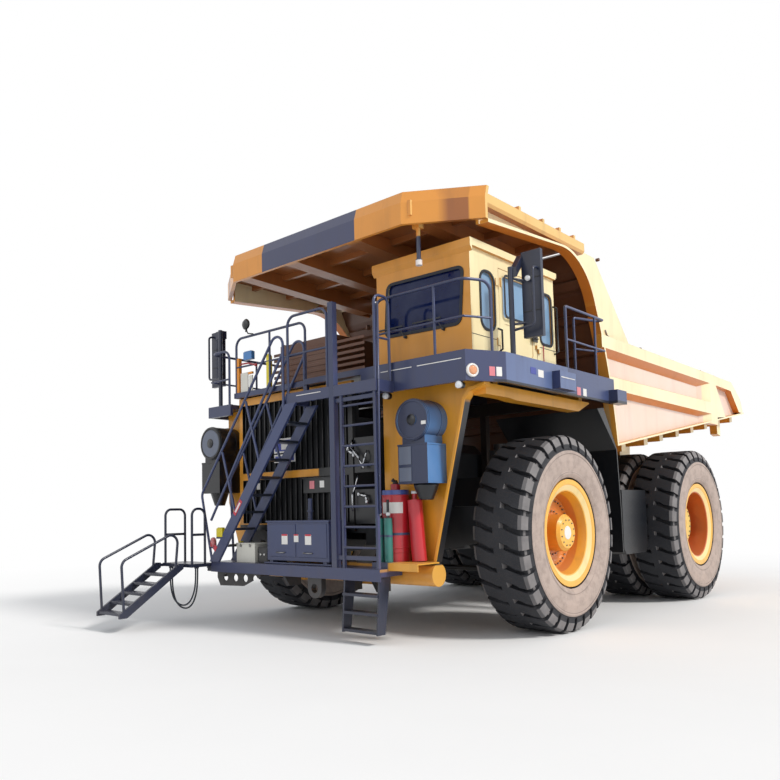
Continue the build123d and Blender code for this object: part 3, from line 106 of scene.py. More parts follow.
class Tree:
    """Adds nodes to a material's or a group's tree and wires them."""

    def __init__(self, tree):
        self.nodes, self.links = tree.nodes, tree.links

    def add(self, kind, inputs=(), **settings):
        node = self.nodes.new(kind)
        for key, value in settings.items():
            setattr(node, key, value)
        for key, value in dict(inputs).items():
            self.feed(value, node.inputs[key])
        return node

    def feed(self, value, socket):
        if isinstance(value, bpy.types.NodeSocket):
            self.links.new(value, socket)
        else:
            socket.default_value = value

    def math(self, operation, a, b=0.0, clamp=False):
        return self.add("ShaderNodeMath", {0: a, 1: b}, operation=operation, use_clamp=clamp).outputs[0]

    def ramp(self, value, low, high, to_low=0.0, to_high=1.0):
        return self.add("ShaderNodeMapRange", {0: value, 1: low, 2: high, 3: to_low, 4: to_high}).outputs[0]

    def mix(self, factor, a, b):
        node = self.add("ShaderNodeMix", data_type="RGBA")
        self.feed(factor, node.inputs[0])
        self.feed(a, node.inputs[6])
        self.feed(b, node.inputs[7])
        return node.outputs[2]

    def noise(self, scale, detail=3.0, roughness=0.55, stretch=None):
        place = self.add("ShaderNodeTexCoord").outputs["Object"]
        if stretch:
            place = self.add("ShaderNodeMapping", {"Vector": place, "Scale": stretch}).outputs[0]
        return self.add("ShaderNodeTexNoise", {"Vector": place, "Scale": scale, "Detail": detail,
                                               "Roughness": roughness}).outputs["Fac"]

    def split(self, kind):
        coordinates = self.add("ShaderNodeTexCoord").outputs[kind]
        return self.add("ShaderNodeSeparateXYZ", {0: coordinates}).outputs

    # The surface's place and direction as numbers: x is from the front axle, out from the middle.
    place = cached_property(lambda tree: tree.split("Object"))
    facing = cached_property(lambda tree: tree.split("Normal"))
    x = cached_property(lambda tree: tree.math("SUBTRACT", tree.place["X"], front_x))
    y = cached_property(lambda tree: tree.place["Y"])
    z = cached_property(lambda tree: tree.place["Z"])
    out = cached_property(lambda tree: tree.math("ABSOLUTE", tree.y))
    ahead = cached_property(lambda tree: tree.facing["X"])
    side = cached_property(lambda tree: tree.facing["Y"])
    up = cached_property(lambda tree: tree.facing["Z"])
    sideways = cached_property(lambda tree: tree.math("ABSOLUTE", tree.side))
    outboard = cached_property(lambda tree: tree.math("MULTIPLY", tree.side, tree.y))

    def between(self, value, low, high, soft=0.003):
        """1 between two values and 0 outside them."""
        return self.math("MULTIPLY", self.ramp(value, low - soft, low + soft),
                         self.ramp(value, high + soft, high - soft))

    def both(self, *masks):
        """Where every mask holds."""
        result = masks[0]
        for mask in masks[1:]:
            result = self.math("MULTIPLY", result, mask)
        return result

    def limit(self, axis, low, high, soft=None):
        """Rises from low to high along one of the numbers above; with a soft edge given, 1 between them."""
        value = getattr(self, axis)
        return self.between(value, low, high, soft) if soft else self.ramp(value, low, high)

    @cached_property
    def reach(self):
        """Distance from the nearer wheel axis."""
        place = self.add("ShaderNodeTexCoord").outputs["Object"]
        flat = self.add("ShaderNodeVectorMath", {0: place, 1: (1, 0, 1)}, operation="MULTIPLY").outputs[0]
        reaches = [self.add("ShaderNodeVectorMath", {0: flat, 1: (hub, 0, hub_z)},
                            operation="DISTANCE").outputs["Value"] for hub in (front_x, rear_x)]
        return self.math("MINIMUM", *reaches)

    def finish(self, colour, roughness, **fixed):
        """Feed the surface's colour and roughness, and set its other sockets: Coat_Weight is Coat Weight."""
        sockets = {"Base Color": colour, "Roughness": roughness, **fixed}
        for socket, value in sockets.items():
            self.feed(value, self.shader.inputs[socket.replace("_", " ")])

    def emboss(self, height, strength, depth, **normal):
        """Raise the surface by a height."""
        relief = {"Strength": strength, "Distance": depth, "Height": height, **normal}
        self.feed(self.add("ShaderNodeBump", relief).outputs[0], self.shader.inputs["Normal"])

    def group(self, tree, inputs):
        node = self.nodes.new("ShaderNodeGroup")
        node.node_tree = tree
        for key, value in inputs.items():
            self.feed(value, node.inputs[key])
        return node


def new_group(name, inputs, outputs):
    """An empty shader node group with named inputs (kind, default) and outputs."""
    group = bpy.data.node_groups.new(name, "ShaderNodeTree")
    for title, kind, value in inputs:
        group.interface.new_socket(title, in_out="INPUT", socket_type=kind).default_value = value
    for title, kind in outputs:
        group.interface.new_socket(title, in_out="OUTPUT", socket_type=kind)
    tree = Tree(group)
    return group, tree, tree.add("NodeGroupInput").outputs, tree.add("NodeGroupOutput").inputs


COLOUR, NUMBER, VECTOR = "NodeSocketColor", "NodeSocketFloat", "NodeSocketVector"


def edge_group():
    """Softened edges: the rounded normal, and a mask that is 1 on worn corners."""
    group, tree, given, out = new_group(
        "softened_edges", [("Radius", NUMBER, 0.008), ("Wear", NUMBER, 0.5)],
        [("Mask", NUMBER), ("Normal", VECTOR)])
    soft = tree.add("ShaderNodeBevel", {"Radius": given["Radius"]}, samples=3).outputs[0]
    sharp = tree.add("ShaderNodeNewGeometry").outputs["Normal"]
    turn = tree.add("ShaderNodeVectorMath", {0: soft, 1: sharp}, operation="DOT_PRODUCT").outputs["Value"]
    corner = tree.ramp(turn, 0.985, 0.88)
    chips = tree.ramp(tree.noise(9, 5, 0.7), 0.42, 0.62)
    worn = tree.both(corner, chips)
    tree.feed(tree.math("MULTIPLY", worn, given["Wear"], clamp=True), out["Mask"])
    tree.feed(soft, out["Normal"])
    return group


def paint_group():
    """Sprayed paint outdoors: tone drift, faces looking sideways painted lighter as painted light, dust on
    top and low down, runs of grime.
    """
    group, tree, given, out = new_group(
        "weathered_paint_and_lit_sides",
        [("Paint", COLOUR, (0.5, 0.5, 0.5, 1)), ("Lit Paint", COLOUR, (0.8, 0.8, 0.8, 1)),
         ("Lit Share", NUMBER, 0.3), ("Dust", NUMBER, 0.3), ("Grime", NUMBER, 0.3)],
        [("Color", COLOUR), ("Roughness", NUMBER), ("Height", NUMBER)])
    drift = tree.noise(0.9, 4)
    fine = tree.noise(38, 4, 0.6)
    streaks = tree.noise(3.2, 4, 0.6, stretch=(1, 1, 0.12))
    tone = tree.mix(tree.ramp(drift, 0.35, 0.65, 0, 0.1), given["Paint"], (0.02, 0.02, 0.02, 1))
    # Painted light: faces that look sideways take the lit colour, by the share given.
    side = tree.ramp(tree.sideways, 0.55, 0.9)
    lit_share = tree.math("MULTIPLY", tree.math("MULTIPLY", side, given["Lit Share"]),
                       tree.ramp(drift, 0.3, 0.7, 0.85, 1.1), clamp=True)
    colour = tree.mix(lit_share, tone, given["Lit Paint"])
    runs = tree.math("MULTIPLY", tree.ramp(streaks, 0.52, 0.72), given["Grime"])
    colour = tree.mix(tree.both(runs, 0.5), colour, (0.06, 0.045, 0.035, 1))
    top = tree.ramp(tree.up, 0.4, 0.95, 0, 0.55)
    low_down = tree.ramp(tree.z, 1.6, 0.2, 0, 0.5)
    settled = tree.math("MULTIPLY", tree.math("ADD", top, low_down), tree.ramp(fine, 0.3, 0.7, 0.6, 1.1))
    dust = tree.math("MULTIPLY", settled, given["Dust"], clamp=True)
    colour = tree.mix(dust, colour, srgb(178, 160, 138))
    tree.feed(colour, out["Color"])
    rough = tree.math("ADD", tree.ramp(fine, 0.3, 0.7, 0.3, 0.42), tree.both(dust, 0.5))
    tree.feed(tree.math("ADD", rough, tree.both(runs, 0.2), clamp=True), out["Roughness"])
    tree.feed(tree.both(fine, 0.3), out["Height"])
    return group


softened_edges = edge_group()
weathered_paint_and_lit_sides = paint_group()


def new_material(name):
    """A material with a plain Principled surface; returns it with its tree, which holds the shader."""
    material = bpy.data.materials.new(name)
    material.use_nodes = True
    material.node_tree.nodes.clear()
    tree = Tree(material.node_tree)
    tree.shader = tree.add("ShaderNodeBsdfPrincipled")
    output = tree.add("ShaderNodeOutputMaterial")
    tree.links.new(tree.shader.outputs[0], output.inputs[0])
    return material, tree


def painted(name, paint, lit_paint=None, lit_share=0.0, dust=0.35, grime=0.35, wear=0.6, coat=0.25,
            chipped=(92, 84, 78), edge=0.006, zones=()):
    """Paint over steel, with softened edges chipped to primer; the second colour is the paint painted lit on
    faces looking sideways; zones are parts sprayed another colour, together with areas of painted shade and
    painted light.
    """
    material, tree = new_material(name)
    edges = tree.group(softened_edges, {"Radius": edge, "Wear": wear})
    ground, lit = srgb(*paint), srgb(*(lit_paint or paint))
    for colour, lit_colour, *areas in zones:
        for limits in areas:
            mask = tree.both(*(tree.limit(*limit) for limit in limits))
            ground = tree.mix(mask, ground, srgb(*colour))
            lit = tree.mix(mask, lit, srgb(*lit_colour))
    film = tree.group(weathered_paint_and_lit_sides, {"Paint": ground, "Lit Paint": lit, "Lit Share": lit_share, "Dust": dust,
                                        "Grime": grime}).outputs
    tree.finish(tree.mix(edges.outputs["Mask"], film["Color"], srgb(*chipped)), film["Roughness"],
                Coat_Weight=coat, Coat_Roughness=0.2)
    tree.emboss(film["Height"], 0.35, 0.0012, Normal=edges.outputs["Normal"])
    return material


def navy_painted(name, paint, lit_paint, lit_share=0.4, dust=0.35, zones=()):
    """Navy paint over a paler primer."""
    return painted(name, paint, lit_paint, lit_share, dust, chipped=(120, 122, 130), zones=zones)


def label(name, colour):
    """Clean printed plate."""
    return painted(name, colour, dust=0.1, wear=0.1, edge=0.001)


# ------------------------------------------------------------------ zones
# A colour, the same painted lit (painted light on faces looking sideways), and the areas that have it: each
# is a list of Tree.limit's values.
band = 0.003
# The canopy: brown on its underside and on inner faces behind the lip is painted shade; a navy band on the
# lip; the hanging lamp's dark housing and pale face.
lip_zones = [
    ((158, 96, 50), (170, 104, 54), [("up", 0.3, 0.2), ("x", 2.32, 2.24), ("out", 2.7, 2.68)],
     [("up", -0.6, -0.8), ("x", 2.6, 1.6)]),
    ((62, 66, 96), (62, 66, 96),
     [("x", 2.3, 2.31), ("y", -1.12, 1.0, band), ("up", -0.75, -0.7), ("ahead", 0.3, 0.4)]),
    ((40, 46, 70), (50, 58, 86), [("z", 5.86, 5.84), ("x", 1.5, 1.6)]),
    ((232, 224, 220), (232, 224, 220), [("z", 5.86, 5.84), ("x", 1.5, 1.6), ("z", 5.5, 5.49)])]
# The frame behind x = 1.82 m and above z = 1.12 m is painted near black: painted shade.
frame_zones = [((26, 30, 36), (34, 38, 44), [("x", 1.86, 1.82)], [("z", 1.1, 1.12)])]
# The fender supports: near black low on their outer faces in front and behind the front plate, dark brown on
# inner faces behind it: painted shade.
support_zones = [
    ((22, 26, 33), (26, 30, 38), [("outboard", 0.5, 0.6), ("z", 3.46, 3.4), ("x", 2.03, 2.02)],
     [("x", 1.9, 1.88), ("z", 3.47, 3.44)]),
    ((40, 32, 28), (40, 32, 28), [("x", 1.9, 1.88), ("out", 2.3, 2.2)])]
grille_zones = [
    ((12, 14, 18), (16, 19, 24), [("z", 1.715, 2.49, band), ("y", -2.28, 0.81, band)],
     [("z", 2.61, 3.845, band), ("y", -2.28, 0.81, band)], [("y", -0.36, -0.33), ("z", 2.72, 2.7)],
     [("z", 1.7, 1.69)])]
tank_zones = [
    ((30, 116, 108), (36, 128, 118), [("x", 2.372, 2.374)]),
    ((34, 36, 40), (44, 46, 50), [("x", 2.372, 2.374), ("z", 1.788, 1.79)]),
    ((56, 76, 150), (70, 92, 168), [("y", 1.52, 1.51), ("x", 2.372, 2.37), ("z", 2.13, 2.202, band)])]
# Rims: a cream band painted lit as painted light, the front and rear dishes painted orange as painted shade,
# and the rear hubs a paler yellow.
rim_zones = [
    ((246, 214, 140), (252, 228, 166), [("reach", 0.655, 0.735, band)]),
    ((214, 122, 40), (222, 134, 48), [("x", -2.4, -2.2), ("reach", 0.285, 0.6, band)]),
    ((198, 96, 36), (204, 104, 40), [("x", -2.2, -2.4), ("reach", 0.43, 0.66, band)]),
    ((244, 206, 110), (250, 222, 140), [("x", -2.2, -2.4), ("reach", 0.43, 0.42)])]
# The body's sides: recess panels painted a duller, pinkish tone as painted shade, and faces looking down
# painted orange as painted shade.
side_zones = [
    ((214, 170, 110), (240, 218, 204),
     [("out", 2.8, 2.79), ("out", 2.715, 2.72), ("x", -1.95, -2.0), ("z", 4.86, 4.84)]),
    ((214, 124, 44), (222, 132, 52), [("up", -0.25, -0.4), ("x", -9.6, -9.5)])]
deck_zones = [
    ((50, 58, 92), (58, 66, 102), [("x", 1.74, 1.76)]),
    ((46, 54, 88), (66, 78, 116), [("x", -0.08, -0.1), ("out", 2.75, 2.78)]),
    ((24, 28, 40), (30, 34, 48), [("z", 3.69, 3.68), ("out", 2.9, 2.92)]),
    ((28, 30, 38), (30, 34, 42), [("z", 4.03, 4.02), ("out", 2.75, 2.7), ("x", 2.2, 2.1)])]
platform_zones = [
    ((26, 30, 38), (32, 38, 48), [("z", 0.9, 0.89)]),
    ((226, 160, 52), (236, 176, 70), [("y", 1.44, 1.46), ("z", 1.02, 1.04)])]
stringer_zones = [((38, 44, 56), (44, 50, 62), [("x", 2.31, 2.73, band)])]


# ------------------------------------------------------------------ materials
# Each paint's second colour is the same paint as it looks lit, painted onto faces that look sideways by the
# share given: painted light.
machine_yellow = painted("machine_yellow", (222, 152, 58), (251, 238, 188), lit_share=0.9, grime=0.3)
support_yellow = painted("support_yellow", (232, 160, 44), (240, 176, 60), lit_share=0.3, zones=support_zones)
frame_yellow = painted("frame_yellow", (228, 158, 56), (240, 190, 90), lit_share=0.4, zones=frame_zones)
canopy_yellow = painted("canopy_yellow", (226, 150, 62), (240, 206, 128), lit_share=0.7, zones=lip_zones)
body_yellow = painted("body_yellow", (232, 160, 62), (252, 240, 198), lit_share=0.95, grime=0.2,
                      zones=side_zones)
wheel_yellow = painted("wheel_yellow", (240, 168, 44), (248, 196, 84), lit_share=0.6, dust=0.2, zones=rim_zones)
grille_paint = painted("grille_paint", (226, 156, 54), (236, 176, 80), lit_share=0.2, zones=grille_zones)
navy = navy_painted("navy_paint", (40, 50, 84), (88, 98, 138), 0.6)
platform_navy = navy_painted("platform_navy", (44, 55, 94), (60, 70, 112), dust=0.2, zones=platform_zones)
mirror_navy = navy_painted("mirror_navy", (30, 37, 58), (40, 49, 74), 0.5, 0.1)
steps_navy = navy_painted("steps_navy", (28, 36, 58), (42, 50, 74), dust=0.06)
# The deck fascia's sides are painted a lit, paler blue: painted light.
deck_navy = navy_painted("deck_navy", (44, 54, 94), (98, 116, 158), 0.85, zones=deck_zones)
stair_navy = navy_painted("stair_navy", (52, 64, 104), (70, 80, 122), zones=stringer_zones)
black = painted("black_paint", (13, 16, 22), (20, 25, 34), 0.3, 0.12, 0.15, chipped=(96, 92, 90))
# Brown: yellow paint as it looks in shade, painted onto the headboard, the grid box and its fittings: painted
# shade.
shade_brown = painted("brown_paint", (104, 64, 42), (120, 76, 50), lit_share=0.2, dust=0.3)
# The air cleaner's slate: a dark front, with its sides painted a lit sky blue: painted light.
slate = painted("slate_paint", (36, 46, 76), (84, 134, 190), lit_share=0.95, dust=0.15)
tank_red = painted("tank_red", (184, 26, 42), (206, 40, 52), lit_share=0.4, dust=0.15, coat=0.6,
                   zones=tank_zones)
red = painted("red_paint", (176, 28, 40), (196, 44, 52), lit_share=0.2, dust=0.2, coat=0.6)
pale = painted("pale_paint", (220, 218, 208), dust=0.2)
cabinet_blue = painted("cabinet_paint", (48, 60, 100), (88, 102, 142), lit_share=0.3, dust=0.15)
frame_grey = painted("frame_steel", (58, 60, 64), dust=0.6, grime=0.6, coat=0.0)
panel_grey = painted("panel_grey", (96, 104, 122), dust=0.15)
deck_orange = painted("marker_orange", (236, 150, 40), dust=0.1, wear=0.2, edge=0.002)
sheet_blue = painted("sky_blue_sheet", (70, 128, 190), dust=0.1)
blank_label = label("blank_label", (234, 232, 228))
pink_label = label("pink_label", (224, 130, 140))
red_label = label("red_label", (200, 40, 62))
blue_label = label("blue_label", (52, 66, 156))
safety_yellow = painted("safety_yellow", (232, 212, 40), dust=0.1, wear=0.2, edge=0.002)


def tyre_compound():
    """Dark tread, chalky side walls between the bead and the shoulder, dusty lug ends, moulding rings."""
    material, tree = new_material("tyre_rubber")
    reach = tree.reach
    scuffs = tree.ramp(tree.noise(3.2, 6, 0.65), 0.3, 0.7)
    speckle = tree.noise(60, 3)
    wall = tree.both(tree.between(reach, 0.8, 1.262), tree.ramp(tree.sideways, 0.3, 0.5))
    line = tree.math("ADD", tree.between(reach, 1.205, 1.216, 0.002),
                     tree.between(reach, 0.925, 0.933, 0.002), clamp=True)
    ends = tree.both(tree.ramp(reach, 1.352, 1.362), tree.ramp(tree.sideways, 0.45, 0.6))
    chalk = tree.both(wall, tree.ramp(scuffs, 0, 1, 0.86, 1))
    colour = tree.mix(chalk, srgb(34, 36, 42), srgb(186, 168, 158))
    colour = tree.mix(tree.both(line, 0.6), colour, srgb(96, 88, 84))
    colour = tree.mix(tree.both(ends, tree.ramp(scuffs, 0, 1, 0.45, 0.85)), colour, srgb(150, 146, 146))
    streaks = tree.ramp(tree.noise(9, 4, 0.6, stretch=(1, 0.2, 1)), 0.42, 0.68, 0, 0.3)
    colour = tree.mix(tree.both(wall, streaks), colour, srgb(96, 86, 82))
    colour = tree.mix(tree.ramp(speckle, 0.5, 0.8, 0, 0.14), colour, srgb(120, 108, 98))
    tree.finish(colour, tree.ramp(scuffs, 0, 1, 0.62, 0.82))
    tree.emboss(speckle, 0.4, 0.002)
    return material


def hose_compound():
    """Black hose with a faint woven mark."""
    material, tree = new_material("hose_rubber")
    speckle = tree.noise(90, 3)
    tree.finish(tree.mix(tree.ramp(speckle, 0.4, 0.7, 0, 0.5), srgb(36, 42, 54), srgb(58, 62, 72)),
                tree.ramp(speckle, 0.3, 0.7, 0.5, 0.7))
    tree.emboss(speckle, 0.4, 0.001)
    return material


def glass(name, tint, sky_reflection_tint, see_through, rough):
    """Tinted pane, with a painted sky reflection in a lighter blue on the side windows: a faint film of dust
    over clear or dark glass.
    """
    material, tree = new_material(name)
    most_dust = 0.05
    film = tree.ramp(tree.noise(2.4, 5, 0.6), 0.4, 0.75, 0, most_dust)
    pane = tree.mix(tree.ramp(tree.sideways, 0.5, 0.6), srgb(*tint), srgb(*sky_reflection_tint))
    tree.finish(tree.mix(film, pane, srgb(190, 206, 220)), tree.ramp(film, 0, most_dust, rough, rough + 0.12),
                Specular_IOR_Level=0.25, Transmission_Weight=see_through, IOR=1.45)
    return material


def metal(name, colour, rough, grain):
    """Bare or plated metal with a fine lengthwise grain."""
    material, tree = new_material(name)
    scratch = tree.noise(grain, 3, 0.6, stretch=(1, 1, 0.05))
    tree.finish(tree.mix(tree.ramp(scratch, 0.4, 0.7), srgb(*colour), srgb(*(0.8 * c for c in colour))),
                tree.ramp(scratch, 0.3, 0.7, rough, rough + 0.15), Metallic=1)
    return material


def moulded(name, colour, rough, scale, depth):
    """Moulded plastic, cloth or cast surface with a fine grain."""
    material, tree = new_material(name)
    grain = tree.noise(scale, 4, 0.6)
    broad = tree.noise(3, 3)
    shade = tree.ramp(broad, 0.35, 0.65, 0, 0.25)
    tree.finish(tree.mix(shade, srgb(*colour), srgb(*(0.6 * c for c in colour))),
                tree.ramp(grain, 0.3, 0.7, rough, rough + 0.15))
    tree.emboss(grain, 0.5, depth)
    return material


def lamp_lens(name, colour):
    """Ribbed lamp glass."""
    material, tree = new_material(name)
    place = tree.add("ShaderNodeTexCoord").outputs["Object"]
    ribs = tree.add("ShaderNodeTexWave", {"Vector": place, "Scale": 28.0, "Distortion": 0.4}).outputs["Fac"]
    ribbed = tree.mix(tree.ramp(ribs, 0, 1, 0, 0.35), srgb(*colour), (0.9, 0.9, 0.9, 1))
    tree.finish(ribbed, 0.15, Coat_Weight=0.6)
    tree.emboss(ribs, 0.6, 0.003)
    return material


tyre_rubber = tyre_compound()
hose_rubber = hose_compound()
window_glass = glass("window_glass", (14, 30, 82), (150, 186, 220), 0.3, 0.04)
# Door glass painted a light sky blue all over: painted sky reflection.
side_glass = glass("side_window_glass", (128, 170, 208), (140, 178, 214), 0.25, 0.05)
chrome = metal("rod_chrome", (206, 208, 212), 0.12, 40)
bolt_steel = metal("bolt_steel", (150, 148, 146), 0.4, 60)
mirror_face = metal("mirror_face", (168, 178, 190), 0.06, 6)
trim_plastic = moulded("trim_plastic", (48, 50, 54), 0.45, 160, 0.001)
seat_cloth = moulded("seat_cloth", (62, 66, 76), 0.8, 300, 0.002)
gasket = moulded("window_gasket", (24, 28, 38), 0.5, 80, 0.001)
core_black = moulded("radiator_core", (12, 15, 20), 0.7, 220, 0.004)
amber_lens = lamp_lens("amber_lens", (232, 136, 40))
clear_lens = lamp_lens("clear_lens", (222, 226, 230))
red_lens = lamp_lens("red_lens", (196, 40, 48))


def dress(material, *names):
    """Give CAD nodes their finish."""
    for name in names:
        nodes[name].data.materials.clear()
        nodes[name].data.materials.append(material)


dress(wheel_yellow, "rim_front_left", "rim_front_right", "rims_rear_left", "rims_rear_right")
dress(machine_yellow, "cab_shell", "cab_door", "bed_floor")
dress(canopy_yellow, "bed_canopy")
dress(support_yellow, "fender_supports")
dress(frame_yellow, "main_frame")
dress(grille_paint, "grille")
dress(body_yellow, "bed_sides")
# The headboard and grid box take the painted shade brown.
dress(shade_brown, "bed_headboard", "grid_box")
dress(deck_navy, "deck")
dress(stair_navy, "diagonal_stairs")
dress(navy, "front_ladder", "handrails")
dress(platform_navy, "front_platform")
dress(steps_navy, "hanging_steps", "boarding_landing", "boarding_stairs")
dress(mirror_navy, "mirrors")
dress(black, "splash_panels", "fuel_tank", "hydraulic_tank", "air_cleaner_right", "knuckle_left",
      "knuckle_right", "tie_rod", "rear_axle", "engine_block", "hoist_barrels")
dress(core_black, "radiator")
dress(slate, "air_cleaner_left")
dress(cabinet_blue, "platform_cabinet")
dress(pale, "battery_box")
dress(tank_red, "fire_tanks")
dress(frame_grey, "front_struts", "rear_struts")
dress(chrome, "hoist_stages", "hoist_rods")
dress(window_glass, "cab_glass")
dress(side_glass, "door_glass")
dress(seat_cloth, "driver_seat")
dress(trim_plastic, "cab_console")


# ------------------------------------------------------------------ mesh helpers
def box(bm, low, high):
    """Rectangular block between two corners."""
    low, high = Vector(low), Vector(high)
    size = high - low
    place = Matrix.Translation((low + high) / 2) @ Matrix.Diagonal((*size, 1))
    return bmesh.ops.create_cube(bm, size=1, matrix=place)["verts"]


def rod(bm, start, end, radius, tip=None, sides=16):
    """Round bar, or a taper where tip is given."""
    start, end = Vector(start), Vector(end)
    run = end - start
    place = Matrix.Translation((start + end) / 2) @ run.to_track_quat("Z", "Y").to_matrix().to_4x4()
    return bmesh.ops.create_cone(bm, cap_ends=True, segments=sides, radius1=radius,
                                 radius2=radius if tip is None else tip, depth=run.length,
                                 matrix=place)["verts"]


def lathe(bm, profile, centre, axis, steps=64):
    """Closed profile of (along, radius) pairs spun round an axis through centre."""
    axis = Vector(axis).normalized()
    outward = axis.orthogonal().normalized()
    verts = [bm.verts.new(Vector(centre) + axis * along + outward * radius) for along, radius in profile]
    edges = [bm.edges.new((a, b)) for a, b in zip(verts, verts[1:] + verts[:1])]
    bmesh.ops.spin(bm, geom=verts + edges, cent=centre, axis=axis, angle=2 * pi, steps=steps, use_merge=True)
    return verts


def whole(verts):
    """A shape's vertices with the edges and faces between them."""
    return list(dict.fromkeys([*verts, *(edge for vert in verts for edge in vert.link_edges),
                               *(face for vert in verts for face in vert.link_faces)]))


def bolt_ring(bm, centre, axis, ring, count, across, tall):
    """Hexagon heads in a ring, standing out along the axis."""
    axis = Vector(axis).normalized()
    foot = Vector(centre) + axis.orthogonal().normalized() * ring
    head = rod(bm, foot, foot + axis * tall, across / 2, sides=6)
    bmesh.ops.spin(bm, geom=whole(head), cent=centre, axis=axis, angle=2 * pi * (count - 1) / count,
                   steps=count - 1, use_duplicate=True)


def surround(bm, corners, radius, lap, cover, push):
    """Rounded ring round an upright opening: lap outside its edge, cover inside it, then its thickness."""
    known, corners = set(bm.faces), [Vector(corner) for corner in corners]
    centre = sum(corners, Vector()) / len(corners)
    grown = [corner + lap * Vector([(gap > 0.01) - (gap < -0.01) for gap in corner - centre])
             for corner in corners]
    face = bm.faces.new([bm.verts.new(corner) for corner in grown])
    bmesh.ops.bevel(bm, geom=list(face.verts), offset=radius + lap, offset_type="OFFSET", affect="VERTICES",
                    segments=5, profile=0.5, material=-1)
    face = next(each for each in bm.faces if each not in known)
    ring = bmesh.ops.inset_region(bm, faces=[face], thickness=lap + cover, use_boundary=True,
                                  use_even_offset=True)["faces"]
    bmesh.ops.delete(bm, geom=[face], context="FACES_ONLY")
    moved = bmesh.ops.extrude_face_region(bm, geom=ring, use_keep_orig=True)["geom"]
    bmesh.ops.translate(bm, verts=[item for item in moved if isinstance(item, bmesh.types.BMVert)],
                        vec=Vector(push))


def tile(bm, centre, width, height, thick=0.006, outward=forward, turn=0.0):
    """Thin upright tile with its back at centre, looking outward; turn leans it in its own plane."""
    outward = Vector(outward).normalized()
    sideways = Vector((0, 0, 1)).cross(outward).normalized()
    axes = Matrix((sideways, outward.cross(sideways), outward)).transposed().to_4x4()
    place = (Matrix.Translation(Vector(centre) + outward * thick / 2) @ axes @ Matrix.Rotation(turn, 4, "Z")
             @ Matrix.Diagonal((width, height, thick, 1)))
    return bmesh.ops.create_cube(bm, size=1, matrix=place)["verts"]


def pipe(bm, points, radius, sides=10):
    """Bent round bar through the points, with a ball at each bend."""
    for start, end in zip(points, points[1:]):
        rod(bm, start, end, radius, sides=sides)
    for point in points[1:-1]:
        bmesh.ops.create_uvsphere(bm, u_segments=sides, v_segments=6, radius=radius,
                                  matrix=Matrix.Translation(point))


def ball(bm, centre, radius, segments=16):
    """Round ball."""
    bmesh.ops.create_uvsphere(bm, u_segments=segments, v_segments=segments // 2, radius=radius,
                              matrix=Matrix.Translation(centre))


def wrapped_label(bm, centre, radius, low, high, start, sweep):
    """Thin plate wrapped round an upright tank."""
    turn = Matrix.Rotation(radians(start), 3, "Z")
    corners = [(radius, low), (radius + 0.004, low), (radius + 0.004, high), (radius, high)]
    face = bm.faces.new([bm.verts.new(Vector(centre) + turn @ Vector((reach, 0, z))) for reach, z in corners])
    bmesh.ops.spin(bm, geom=[face], cent=centre, axis=(0, 0, 1), angle=radians(sweep), steps=12)


def place_piece(bm, name, material, body, bevel=0.0, smooth=False):
    """Turn a finished bmesh into a piece that rides on a body."""
    bmesh.ops.remove_doubles(bm, verts=bm.verts, dist=0.00005)
    bmesh.ops.recalc_face_normals(bm, faces=bm.faces)
    mesh = bpy.data.meshes.new(name)
    bm.to_mesh(mesh)
    bm.free()
    for polygon in mesh.polygons:
        polygon.use_smooth = smooth
    mesh.materials.append(material)
    piece = bpy.data.objects.new(name, mesh)
    scene.collection.objects.link(piece)
    if bevel:
        soften = piece.modifiers.new("soft_edges", "BEVEL")
        soften.width, soften.segments, soften.profile = bevel, 2, 0.5
        soften.limit_method, soften.angle_limit = "ANGLE", radians(35)
        soften.material = -1
    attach(piece, body)
    return piece


def build(name, material, *shapes, body="chassis", bevel=0.0, smooth=False):
    """One piece made of several shapes, each a helper with its arguments; X counts from the front axle."""
    bm = bmesh.new()
    for helper, *arguments in shapes:
        helper(bm, *arguments)
    bmesh.ops.translate(bm, verts=bm.verts, vec=(front_x, 0, 0))
    return place_piece(bm, name, material, body, bevel, smooth)


# ------------------------------------------------------------------ hoses under the boarding landing
hose_diameter = 0.028
outer_route = [(3.05, -3.15, 0.955), (3.05, -3.15, 0.78), (3.046, -3.136, 0.56), (3.03, -3.078, 0.37),
               (3.0, -2.967, 0.265), (2.963, -2.832, 0.245), (2.932, -2.716, 0.32), (2.911, -2.639, 0.48),
               (2.903, -2.61, 0.64), (2.9, -2.6, 0.8), (2.9, -2.6, 0.955)]
inner_route = [(3.105, -3.132, 0.955), (3.105, -3.132, 0.8), (3.102, -3.114, 0.59), (3.086, -3.055, 0.415),
               (3.053, -2.945, 0.32), (3.015, -2.813, 0.305), (2.984, -2.7, 0.38), (2.964, -2.624, 0.53),
               (2.957, -2.592, 0.67), (2.955, -2.583, 0.815), (2.955, -2.583, 0.955)]


def build_hose(name, route):
    """Hose hanging between two glands; X of the route is measured from the front axle."""
    curve = bpy.data.curves.new(name, "CURVE")
    curve.dimensions = "3D"
    spline = curve.splines.new("NURBS")
    spline.points.add(len(route) - 1)
    for point, (x, y, z) in zip(spline.points, route):
        point.co = (front_x + x, y, z, 1)
    spline.order_u = 3
    spline.use_endpoint_u = True
    spline.resolution_u = 12
    curve.bevel_depth = hose_diameter / 2
    curve.bevel_resolution = 6
    curve.materials.append(hose_rubber)
    hose = bpy.data.objects.new(name, curve)
    scene.collection.objects.link(hose)
    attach(hose, "chassis")
    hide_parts(name)


build_hose("stair_hose_outer", outer_route)
build_hose("stair_hose_inner", inner_route)


# ------------------------------------------------------------------ tyres
tread_radius, lug_depth = hub_z - 0.004, 0.085
groove_radius = tread_radius - lug_depth
lug_count, lug_share = 32, 0.72
half_width = 0.465


